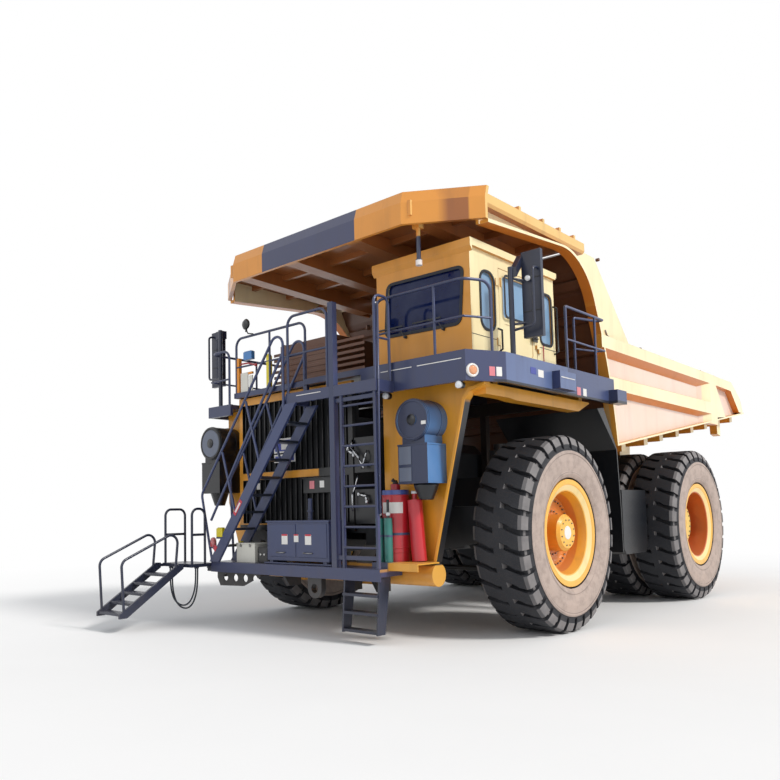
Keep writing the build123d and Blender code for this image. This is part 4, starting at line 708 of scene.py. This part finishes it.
def add_lugs(bm, hub, side):
    """One shoulder's lugs: a block swept along the tread, its inner end turned, copied round the tyre."""
    pitch = 2 * pi / lug_count
    outline = [(0.03, groove_radius - 0.01), (0.03, tread_radius), (0.11, tread_radius),
               (0.175, tread_radius), (0.24, tread_radius), (0.352, tread_radius - 0.004),
               (0.402, tread_radius - 0.035), (0.438, groove_radius - 0.055), (0.442, groove_radius - 0.14),
               (0.38, groove_radius - 0.15), (0.33, groove_radius - 0.012)]
    known = set(bm.verts)
    face = bm.faces.new([bm.verts.new(hub + Vector((0, side * y, r))) for y, r in outline])
    bmesh.ops.spin(bm, geom=[face], cent=hub, axis=(0, 1, 0), angle=pitch * lug_share, steps=3)
    lug = [vert for vert in bm.verts if vert not in known]
    for width, share in ((0.3, 0.1), (0.2, 0.16), (0.15, 0.12)):
        inner = [vert for vert in lug if abs(vert.co.y - hub.y) < width]
        bmesh.ops.rotate(bm, verts=inner, cent=hub, matrix=Matrix.Rotation(-side * share * pitch, 3, "Y"))
    if side == right:
        bmesh.ops.rotate(bm, verts=lug, cent=hub, matrix=Matrix.Rotation(pitch / 2, 3, "Y"))
    bmesh.ops.spin(bm, geom=whole(lug), cent=hub, axis=(0, 1, 0), angle=pitch * (lug_count - 1),
                   steps=lug_count - 1, use_duplicate=True)


def add_tyre(bm, hub):
    """Carcass with moulded rings, a centre rib and staggered shoulder lugs."""
    half = [(0.0, groove_radius), (0.345, groove_radius), (0.388, groove_radius - 0.022),
            (0.404, groove_radius - 0.105), (0.43, groove_radius - 0.135), (0.448, 1.258), (0.459, 1.24),
            (0.459, 1.215), (0.453, 1.205), (0.463, 1.1), (0.457, 1.02), (0.441, 0.945), (0.446, 0.925),
            (0.44, 0.9), (0.418, 0.86), (0.404, 0.845), (0.332, 0.838), (0.332, 0.7), (0.0, 0.7)]
    lathe(bm, half[:-1] + [(-y, r) for y, r in reversed(half[:-1])][:-1], hub, (0, 1, 0), steps=96)
    lathe(bm, [(-0.075, groove_radius - 0.01), (-0.055, tread_radius), (0.055, tread_radius),
               (0.075, groove_radius - 0.01)], hub, (0, 1, 0), steps=96)
    for side in (left, right):
        add_lugs(bm, hub, side)


def build_tyres():
    """The steered pair and the two sets of duals."""
    rear_low, rear_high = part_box("tyres_rear_left")
    for side, name in ((left, "left"), (right, "right")):
        bm = bmesh.new()
        add_tyre(bm, Vector((front_x, side * front_hub.y, hub_z)))
        piece = place_piece(bm, f"tyre_tread_front_{name}", tyre_rubber, f"wheel_front_{name}", bevel=0.008)
        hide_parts(f"tyre_front_{name}")
        bm = bmesh.new()
        for y in (rear_low.y + half_width, rear_high.y - half_width):
            add_tyre(bm, Vector((rear_x, side * y, hub_z)))
        piece = place_piece(bm, f"tyre_treads_rear_{name}", tyre_rubber, f"wheels_rear_{name}", bevel=0.008)
        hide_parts(f"tyres_rear_{name}")


build_tyres()


# ------------------------------------------------------------------ wheel fittings
# Bolt rings on the dishes and hub covers, and the blank centre discs.
front_y, rear_y = front_hub.y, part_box("rims_rear_left")[1].y - 0.4
for side, name in ((left, "left"), (right, "right")):
    axis = Vector((0, side, 0))

    def spot(x, y):
        return Vector((x, side * y, hub_z))

    build(f"wheel_bolts_front_{name}", bolt_steel,
          (bolt_ring, spot(0, front_y + 0.078), axis, 0.5, 36, 0.03, 0.03),
          (bolt_ring, spot(0, front_y + 0.07), axis, 0.335, 24, 0.026, 0.028),
          (bolt_ring, spot(0, front_y + 0.343), axis, 0.198, 12, 0.022, 0.018), body=f"wheel_front_{name}")
    build(f"hub_disc_front_{name}", blank_label,
          (lathe, [(0.345, 0), (0.345, 0.105), (0.352, 0.1), (0.352, 0)], spot(0, front_y), axis, 32),
          body=f"wheel_front_{name}")
    build(f"wheel_bolts_rear_{name}", bolt_steel,
          (bolt_ring, spot(rear_axle, rear_y - 0.08), axis, 0.545, 36, 0.03, 0.03),
          (bolt_ring, spot(rear_axle, rear_y + 0.088), axis, 0.35, 20, 0.026, 0.024),
          body=f"wheels_rear_{name}")
    build(f"hub_cover_ring_rear_{name}", wheel_yellow,
          (lathe, [(0.088, 0.15), (0.088, 0.215), (0.102, 0.205), (0.102, 0.16)], spot(rear_axle, rear_y),
           axis, 48), body=f"wheels_rear_{name}", bevel=0.003)


# ------------------------------------------------------------------ cab fittings
def upright(low_x, high_x, low_z, high_z, y):
    """Corners of an upright opening in the cab's side."""
    return [(low_x, y, low_z), (high_x, y, low_z), (high_x, y, high_z), (low_x, y, high_z)]


# Window rubbers, wipers, sun visor, the screen inside, grab handles, hinges and seams.
screen = [(1.956, 1.03, 4.59), (1.956, 2.4, 4.56), (1.956, 2.47, 5.37), (1.956, 1.09, 5.39)]
rear = [(-0.511, 1.15, 4.7), (-0.511, 2.3, 4.7), (-0.511, 2.3, 5.35), (-0.511, 1.15, 5.35)]
build("window_rubbers", gasket, (surround, screen, 0.085, 0.03, 0.018, (0.014, 0, 0)),
      (surround, rear, 0.07, 0.025, 0.015, (-0.014, 0, 0)),
      (surround, upright(1.33, 1.7, 4.5, 5.36, 2.591), 0.15, 0.026, 0.014, (0, 0.012, 0)),
      (surround, upright(-0.4, -0.02, 4.52, 5.35, 2.591), 0.09, 0.026, 0.014, (0, 0.012, 0)),
      (surround, upright(0.2, 1.6, 4.56, 5.38, 0.854), 0.08, 0.026, 0.014, (0, -0.012, 0)), bevel=0.003)
build("door_window_rubber", gasket,
      (surround, upright(0.23, 1.08, 4.76, 5.39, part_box("cab_door")[1].y - 0.004),
       0.06, 0.024, 0.012, (0, 0.01, 0)), body="door", bevel=0.003)
wiper_spots, hinge_heights = (1.42, 2.12), (4.36, 5.26)
build("windscreen_wipers", trim_plastic,
      *((rod, (1.955, y, 4.52), (2.01, y, 4.52), 0.024, 0.018) for y in wiper_spots),
      *((pipe, [(2.0, y, 4.52), (1.996, y - 0.08, 4.64), (1.984, y - 0.3, 4.7)], 0.009)
        for y in wiper_spots),
      *((box, (1.972, y - 0.56, 4.69), (1.986, y - 0.04, 4.712)) for y in wiper_spots), bevel=0.002)
build("sun_visor", sheet_blue, (box, (1.895, 1.12, 5.25), (1.903, 2.43, 5.362)), bevel=0.003)
build("cab_display", sheet_blue, (box, (1.84, 1.23, 4.67), (1.895, 1.56, 4.8)),
      (box, (1.83, 1.15, 4.64), (1.87, 1.19, 4.96)), bevel=0.008)
build("cab_grab_handles", black,
      (pipe, [(1.255, 2.59, 4.56), (1.262, 2.665, 4.52), (1.262, 2.665, 4.24), (1.255, 2.59, 4.2)], 0.014),
      (pipe, [(-0.47, 2.59, 5.2), (-0.47, 2.66, 5.16), (-0.47, 2.66, 4.44), (-0.47, 2.59, 4.4)], 0.014),
      smooth=True)
build("door_handle", black, (box, (0.15, 2.612, 4.5), (0.29, 2.636, 4.6)),
      (pipe, [(0.17, 2.63, 4.55), (0.18, 2.662, 4.55), (0.262, 2.662, 4.55), (0.272, 2.63, 4.55)], 0.008),
      body="door", bevel=0.004)
build("door_hinges", machine_yellow,
      *((rod, (1.196, 2.628, z - 0.07), (1.196, 2.628, z + 0.07), 0.016) for z in hinge_heights),
      *((box, (1.206, 2.59, z - 0.055), (1.29, 2.604, z + 0.055)) for z in hinge_heights), bevel=0.003)
build("cab_side_stripe", red_label, (tile, (-0.1, 2.59, 4.31), 0.022, 0.4, 0.006, outboard))
build("cab_side_seams", gasket, (box, (-0.51, 2.588, 4.45), (0.06, 2.594, 4.458)),
      (box, (1.3, 2.588, 4.38), (1.95, 2.594, 4.388)))


# ------------------------------------------------------------------ deck fittings
chamfer = (0.43, 0.903, 0)
# Marker lamps, blank plates, pale strips and the small gear on the right-hand wing.
lamp = (2.246, 2.764, 3.79)
lamp_spots = (2.6, 1.3)
build("marker_lamp_ring", blank_label,
      (lathe, [(0, 0.062), (0, 0.098), (0.022, 0.092), (0.03, 0.066)], lamp, chamfer, 32), smooth=True)
build("marker_lamp_lens", amber_lens,
      (lathe, [(0, 0), (0, 0.064), (0.03, 0.062), (0.042, 0.04), (0.045, 0)], lamp, chamfer, 32), smooth=True)
build("fascia_lamps", clear_lens,
      *((lathe, [(0, 0), (0, 0.045), (0.05, 0.052), (0.064, 0.04), (0.068, 0)], (2.3, y, 3.602), forward, 24)
        for y in lamp_spots), smooth=True)
build("fascia_lamp_brackets", black,
      *((box, (2.288, y - 0.03, 3.56), (2.302, y + 0.03, 3.66)) for y in lamp_spots),
      *((rod, (2.24, y, 3.602), (2.302, y, 3.602), 0.048, 0.05) for y in lamp_spots), bevel=0.003)
build("fascia_strips", blank_label,
      *((box, (2.337, low, 3.955), (2.345, high, 3.967)) for low, high in ((1.22, 1.8), (1.9, 2.66))),
      (box, (2.734, -0.2, 3.735), (2.742, 0.34, 3.746)), (box, (-0.04, 3.13, 3.855), (0.4, 3.137, 3.868)))
build("fascia_plates_white", blank_label, (tile, (1.86, 2.95, 3.79), 0.09, 0.13, 0.004, chamfer),
      (tile, (0.78, 3.0, 3.88), 0.16, 0.11, 0.004, outboard),
      (tile, (-0.64, 3.0, 3.74), 0.12, 0.12, 0.004, outboard), bevel=0.001)
build("fascia_plates_pink", pink_label, (tile, (1.96, 2.902, 3.79), 0.09, 0.13, 0.004, chamfer),
      (tile, (-0.43, 3.0, 3.74), 0.13, 0.13, 0.004, outboard), bevel=0.001)
build("fascia_plates_blue", blue_label, (tile, (1.0, 3.0, 3.9), 0.16, 0.1, 0.004, outboard), bevel=0.001)
build("tail_lamp_lenses", red_lens, (box, (-1.926, 3.012, 3.69), (-1.918, 3.112, 3.82)), bevel=0.003)
build("wing_posts", deck_orange, (box, (2.16, -2.3, 4.08), (2.23, -2.23, 4.72)),
      (box, (2.16, -2.3, 4.4), (2.2, -1.9, 4.44)), bevel=0.006)
build("wing_post_pale", safety_yellow, (box, (2.16, -1.48, 4.08), (2.235, -1.4, 4.64)),
      (rod, (2.2, -1.44, 4.64), (2.2, -1.44, 4.68), 0.05, 0.03), bevel=0.006)
build("wing_panels", pale, (tile, (2.19, -2.11, 4.26), 0.2, 0.35, 0.02),
      (tile, (2.19, -1.93, 4.23), 0.09, 0.28, 0.02), bevel=0.004)
build("wing_cable_box", sheet_blue, (box, (2.14, -2.12, 4.665), (2.22, -1.89, 4.81)),
      (box, (2.145, -2.1, 4.81), (2.215, -1.91, 4.822)), bevel=0.006)
build("wing_lever", red, (pipe, [(2.23, -2.18, 4.6), (2.24, -1.95, 4.59), (2.24, -1.76, 4.53)], 0.016),
      (ball, (2.24, -1.75, 4.528), 0.03), smooth=True)
build("wing_mirror", black, (pipe, [(2.29, -1.76, 5.08), (2.27, -1.92, 5.12), (2.2, -2.04, 5.2)], 0.012),
      (rod, (2.2, -2.05, 5.18), (2.2, -2.05, 5.24), 0.02),
      (lathe, [(0, 0), (0, 0.09), (0.02, 0.1), (0.05, 0.07), (0.06, 0)], (2.19, -2.05, 5.32), forward, 24),
      smooth=True)


# ------------------------------------------------------------------ front end
# Blank sign plates, the cabinet's fronts, lamps and plates on the stairs, valves, pipes and bands.
build("sign_backs", blank_label, (tile, (2.118, -1.155, 3.05), 0.53, 0.25, 0.008),
      (tile, (2.118, -1.155, 2.83), 0.53, 0.14, 0.008), bevel=0.003)
build("sign_faces", blue_label, (tile, (2.126, -1.155, 3.05), 0.47, 0.19, 0.003),
      (tile, (2.126, -1.155, 2.83), 0.47, 0.085, 0.003), bevel=0.002)
build("sign_blanks", blank_label, (tile, (2.129, -1.12, 3.045), 0.22, 0.13, 0.002),
      (tile, (2.129, -1.15, 2.835), 0.16, 0.045, 0.002), bevel=0.001)
build("relay_housing", black, (box, (2.118, -0.64, 2.21), (2.19, 0.01, 2.46)),
      (box, (2.118, -0.66, 2.446), (2.205, 0.03, 2.466)), bevel=0.006)
build("relay_plate_red", pink_label, (tile, (2.19, -0.43, 2.345), 0.11, 0.13), bevel=0.001)
build("relay_plate_white", blank_label, (tile, (2.19, -0.2, 2.35), 0.1, 0.11, 0.006),
      (tile, (2.118, -1.85, 2.37), 0.09, 0.11, 0.006), bevel=0.001)
build("drain_pole", navy, (rod, (2.3, -0.37, 1.76), (2.3, -0.37, 2.12), 0.038),
      (rod, (2.3, -0.37, 1.9), (2.3, -0.37, 1.93), 0.052), (box, (2.24, -0.42, 1.755), (2.36, -0.32, 1.775)),
      bevel=0.004)
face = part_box("platform_cabinet")[1].x - front_x
door_labels = (-0.65, -0.11)
build("cabinet_fronts", cabinet_blue, (box, (face - 0.002, -1.04, 1.19), (face + 0.01, -0.4, 1.715)),
      (box, (face - 0.002, -0.35, 1.19), (face + 0.01, 0.29, 1.715)),
      (box, (face - 0.365, -1.1, 1.742), (face + 0.018, 0.35, 1.772)),
      (box, (face - 0.06, -1.14, 1.073), (face + 0.026, 0.39, 1.1)), bevel=0.008)
build("cabinet_labels", blank_label,
      *((tile, (face + 0.01, y, 1.47), 0.14, 0.16, 0.003) for y in door_labels),
      (tile, (face + 0.01, -0.38, 1.49), 0.105, 0.12, 0.003), bevel=0.001)
build("cabinet_label_heads", red_label,
      *((tile, (face + 0.013, y, 1.54), 0.13, 0.028, 0.002) for y in door_labels),
      (tile, (face + 0.013, -0.38, 1.542), 0.095, 0.024, 0.002))
build("cabinet_handles", bolt_steel,
      *((pipe, [(face + 0.008, y - 0.09, 1.265), (face + 0.04, y - 0.085, 1.258),
        (face + 0.04, y + 0.085, 1.258), (face + 0.008, y + 0.09, 1.265)], 0.008) for y in (-0.74, -0.11)),
      smooth=True)
box_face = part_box("battery_box")[1].x - front_x
build("battery_lid", pale, (box, (box_face - 0.36, -1.892, 1.372), (box_face + 0.012, -1.388, 1.398)),
      bevel=0.006)
build("battery_latches", bolt_steel,
      *((box, (box_face, y - 0.02, 1.33), (box_face + 0.016, y + 0.02, 1.385)) for y in (-1.76, -1.52)),
      bevel=0.003)
build("junction_box", black, (box, (2.3, -1.375, 1.073), (2.56, -1.115, 1.33)),
      (box, (2.56, -1.35, 1.1), (2.568, -1.14, 1.305)), bevel=0.006)
build("junction_bolts", blank_label,
      *((rod, (2.566, y, 1.21), (2.58, y, 1.21), 0.016) for y in (-1.29, -1.2)))
build("platform_reflector", safety_yellow, (box, (2.42, -1.99, 1.2), (2.48, -1.915, 1.42)),
      (box, (2.43, -1.985, 1.073), (2.47, -1.925, 1.21)), bevel=0.006)
stair_lean = radians(52)
build("stair_plate_red", red_label, (tile, (2.781, -1.625, 2.0), 0.3, 0.075, 0.004, forward, stair_lean),
      (tile, (2.781, -2.25, 1.31), 0.1, 0.08, 0.004, forward, stair_lean), bevel=0.001)
build("stair_plate_white", blank_label, (tile, (2.785, -1.625, 2.0), 0.2, 0.034, 0.002, forward, stair_lean))
build("stair_lamp_bracket", navy, (box, (2.7, -2.23, 1.47), (2.776, -1.98, 1.5)),
      (box, (2.7, -2.44, 1.3), (2.776, -2.16, 1.33)), bevel=0.004)
build("stair_beacon", safety_yellow, (box, (2.7, -2.21, 1.5), (2.79, -2.05, 1.65)),
      (box, (2.712, -2.195, 1.648), (2.778, -2.065, 1.665)), bevel=0.012)
build("stair_lamp", red_lens, (rod, (2.735, -2.36, 1.33), (2.735, -2.36, 1.45), 0.06, 0.052),
      (ball, (2.735, -2.36, 1.445), 0.05), smooth=True)
build("ladder_stile", navy, (pipe, [(2.69, 1.44, 1.85), (2.69, 1.48, 4.93)], 0.016),
      *((rod, (2.69, 1.415, z), (2.69, 1.46, z), 0.012) for z in (1.95, 3.6)), smooth=True)
build("service_pipes", chrome,
      (pipe, [(2.12, 0.42, 3.02), (2.18, 0.44, 2.9), (2.18, 0.6, 2.72), (2.18, 0.7, 2.56)], 0.018),
      (pipe, [(2.12, 0.34, 2.96), (2.17, 0.36, 2.86), (2.17, 0.47, 2.8)], 0.024),
      (pipe, [(2.12, 0.72, 2.84), (2.17, 0.72, 2.74), (2.17, 0.64, 2.56)], 0.012),
      (pipe, [(2.12, 0.52, 2.46), (2.16, 0.5, 2.3), (2.16, 0.43, 2.16), (2.16, 0.43, 1.9)], 0.012),
      (pipe, [(2.15, 0.56, 2.16), (2.15, 0.7, 2.13), (2.15, 0.72, 2.04)], 0.02),
      *((rod, (2.15, y, z - 0.03), (2.15, y, z + 0.03), 0.032, None, 8)
        for y, z in ((0.36, 2.86), (0.47, 2.78), (0.64, 2.64), (0.72, 2.04), (0.56, 2.16))), smooth=True)
build("service_backing", black, (box, (2.052, 0.43, 2.5), (2.1, 0.9, 3.06)),
      (box, (2.052, 0.43, 1.7), (2.1, 0.9, 2.24)), bevel=0.006)

# Labels, rings, valves and straps on the fire tanks and bottles.
red_tank, bottles = (2.16, 1.3, 0), (1.215, 1.375)
build("tank_label", blank_label, (wrapped_label, red_tank, 0.205, 1.86, 2.02, -28, 96))
build("tank_rings", tank_red,
      *((lathe, [(z, 0.2), (z + 0.006, 0.211), (z + 0.018, 0.211), (z + 0.024, 0.2)], red_tank, upward, 48)
        for z in (1.28, 1.34, 2.11)), smooth=True)
build("tank_valves", trim_plastic, *((rod, (2.44, y, 1.798), (2.44, y, 2.06), 0.02) for y in bottles),
      (rod, (2.16, 1.3, 2.288), (2.16, 1.3, 2.35), 0.045, 0.03),
      (pipe, [(2.16, 1.3, 2.32), (2.26, 1.34, 2.36), (2.33, 1.38, 2.33)], 0.016), smooth=True)
build("tank_valve_knobs", clear_lens, *((ball, (2.44, y, 1.85), 0.034) for y in bottles),
      (rod, (2.13, 1.63, 2.14), (2.13, 1.63, 2.18), 0.055, 0.05), smooth=True)
build("tank_straps", navy,
      (lathe, [(1.54, 0.202), (1.54, 0.209), (1.575, 0.209), (1.575, 0.202)], red_tank, upward, 48),
      *((lathe, [(1.52, 0.06), (1.52, 0.066), (1.55, 0.066), (1.55, 0.06)], (2.44, y, 0), upward, 24)
        for y in bottles))

# Drum bands, face rings, inlets and grey panels on the two air cleaners.
for name, y, face, sheet in (("left", 1.82, 2.4, slate), ("right", -2.8, 2.45, black)):
    drum = (0, y, 3.19)
    build(f"cleaner_bands_{name}", sheet,
          *((lathe, [(x, 0.298), (x, 0.307), (x + 0.03, 0.307), (x + 0.03, 0.298)], drum, forward, 48)
            for x in (2.06, face - 0.05)),
          (lathe, [(face, 0.255), (face + 0.012, 0.262), (face + 0.012, 0.285),
           (face, 0.292)], drum, forward, 48),
          (box, (1.96, y - 0.268, 2.82), (face + 0.006, y + 0.268, 2.846)),
          (box, (1.96, y - 0.268, 2.276), (face + 0.006, y + 0.268, 2.3)), bevel=0.003)
    build(f"cleaner_inlet_{name}", black,
          (lathe, [(face + 0.01, 0), (face + 0.01, 0.08), (face + 0.018, 0.076),
           (face + 0.018, 0)], drum, forward, 32), smooth=True)
build("cleaner_face_right", panel_grey,
      (lathe, [(2.45, 0), (2.456, 0), (2.456, 0.246), (2.45, 0.252)], (0, -2.8, 3.19), forward, 48))
build("cleaner_panels", panel_grey, (box, (2.399, 1.58, 2.55), (2.41, 1.8, 2.81)),
      (box, (2.399, 1.58, 2.31), (2.41, 1.8, 2.51)), bevel=0.006)
build("cleaner_label", blank_label, (tile, (2.412, 2.04, 3.13), 0.08, 0.05))
build("cleaner_cup_left", black,
      (lathe, [(2.272, 0.168), (2.272, 0.18), (2.24, 0.18), (2.06, 0.106), (2.045, 0.1), (2.045, 0.09)],
       (2.173, 1.88, 0), upward, 40), smooth=True)


# ------------------------------------------------------------------ mirrors, bed and grid box
# Reflecting faces, back ribs and a small round lamp.
build("mirror_faces", mirror_face, (box, (1.208, 3.06, 4.36), (1.216, 3.305, 5.56)),
      (box, (1.931, -3.29, 4.36), (1.939, -3.01, 5.37)), bevel=0.003)
build("mirror_back_seams", black, *((box, (1.284, 3.04, z), (1.291, 3.325, z + 0.012)) for z in (4.7, 5.18)),
      *((box, (2.007, -3.31, z), (2.014, -2.99, z + 0.012)) for z in (4.7, 5.05)))
build("mirror_lamp", clear_lens, (ball, (1.33, 3.15, 5.18), 0.042), smooth=True)

# Sensor pipe and lugs on the left side.
build("bed_side_pipe", bolt_steel,
      (pipe, [(-2.08, 2.758, 5.04), (-2.13, 2.758, 4.96), (-2.23, 2.758, 4.925),
       (-3.15, 2.758, 4.872)], 0.013), body="bed", smooth=True)
build("bed_side_lugs", shade_brown,
      *((rod, (x, 2.74, z), (x, 2.8, z), 0.045, 0.038) for x, z in ((-3.56, 4.89), (-6.85, 4.85))),
      (rod, (-1.96, 2.7, 6.3), (-1.96, 2.76, 6.3), 0.03), body="bed", bevel=0.004)

# Louvres on the resistor box's faces and lifting lugs on its lid.
louvres, louvre_height = [4.17 + 0.105 * row for row in range(7)], 0.055
build("grid_louvres", shade_brown,
      *((box, (1.496, -2.08, z), (1.51, 0.18, z + louvre_height)) for z in louvres),
      *((box, (-0.9, 0.296, z), (1.4, 0.31, z + louvre_height)) for z in louvres), bevel=0.006)
build("grid_box_lugs", shade_brown,
      *((box, (x - 0.05, y - 0.012, 4.975), (x + 0.05, y + 0.012, 5.06)) for x in (-0.8, 1.3)
        for y in (-2.0, 0.1)), bevel=0.008)


# ------------------------------------------------------------------ floor and light
fade_start, fade_end = 7, 20
lamps = (("key", (-0.15, 0.85, 0.75), 2.3, 12, (1.0, 0.97, 0.93)),
         ("fill", (0.9, -0.1, 0.55), 0.4, 40, (0.96, 0.98, 1.0)))


def build_stage():
    """Pale floor that keeps the truck's shadow, a white surround and soft lamps."""
    material, tree = new_material("floor")
    drift = tree.noise(0.5, 3)
    tree.finish(tree.mix(drift, (0.86, 0.86, 0.86, 1), (0.9, 0.9, 0.9, 1)), 0.9)
    glow = tree.add("ShaderNodeEmission", {"Color": (1, 1, 1, 1), "Strength": 1.0})
    place = tree.add("ShaderNodeTexCoord").outputs["Object"]
    away = tree.add("ShaderNodeVectorMath", {0: place}, operation="LENGTH").outputs["Value"]
    direct = tree.add("ShaderNodeLightPath").outputs["Is Camera Ray"]
    far = tree.both(tree.ramp(away, fade_start, fade_end), direct)
    surface = tree.add("ShaderNodeMixShader", {0: far, 1: tree.shader.outputs[0], 2: glow.outputs[0]})
    tree.links.new(surface.outputs[0], material.node_tree.get_output_node("CYCLES").inputs[0])
    bm = bmesh.new()
    bmesh.ops.create_grid(bm, x_segments=4, y_segments=4, size=120)
    mesh = bpy.data.meshes.new("floor")
    bm.to_mesh(mesh)
    bm.free()
    mesh.materials.append(material)
    floor = bpy.data.objects.new("floor", mesh)
    scene.collection.objects.link(floor)

    world = bpy.data.worlds.new("studio")
    scene.world = world
    world.use_nodes = True
    world.node_tree.nodes.clear()
    tree = Tree(world.node_tree)
    ray = tree.add("ShaderNodeLightPath").outputs
    seen = tree.math("MAXIMUM", ray["Is Camera Ray"],
                     tree.math("MAXIMUM", ray["Is Glossy Ray"], ray["Is Transmission Ray"]))
    ambient = tree.add("ShaderNodeBackground", {"Color": (0.93, 0.96, 1.0, 1), "Strength": 0.55})
    white = tree.add("ShaderNodeBackground", {"Color": (1, 1, 1, 1), "Strength": 1.0})
    both = tree.add("ShaderNodeMixShader", {0: seen, 1: ambient.outputs[0], 2: white.outputs[0]})
    tree.links.new(both.outputs[0], tree.add("ShaderNodeOutputWorld").inputs[0])

    for name, direction, strength, spread, colour in lamps:
        data = bpy.data.lights.new(name, "SUN")
        data.energy, data.angle, data.color = strength, radians(spread), colour
        sun = bpy.data.objects.new(name, data)
        sun.matrix_world = Vector(direction).to_track_quat("Z", "Y").to_matrix().to_4x4()
        scene.collection.objects.link(sun)


build_stage()
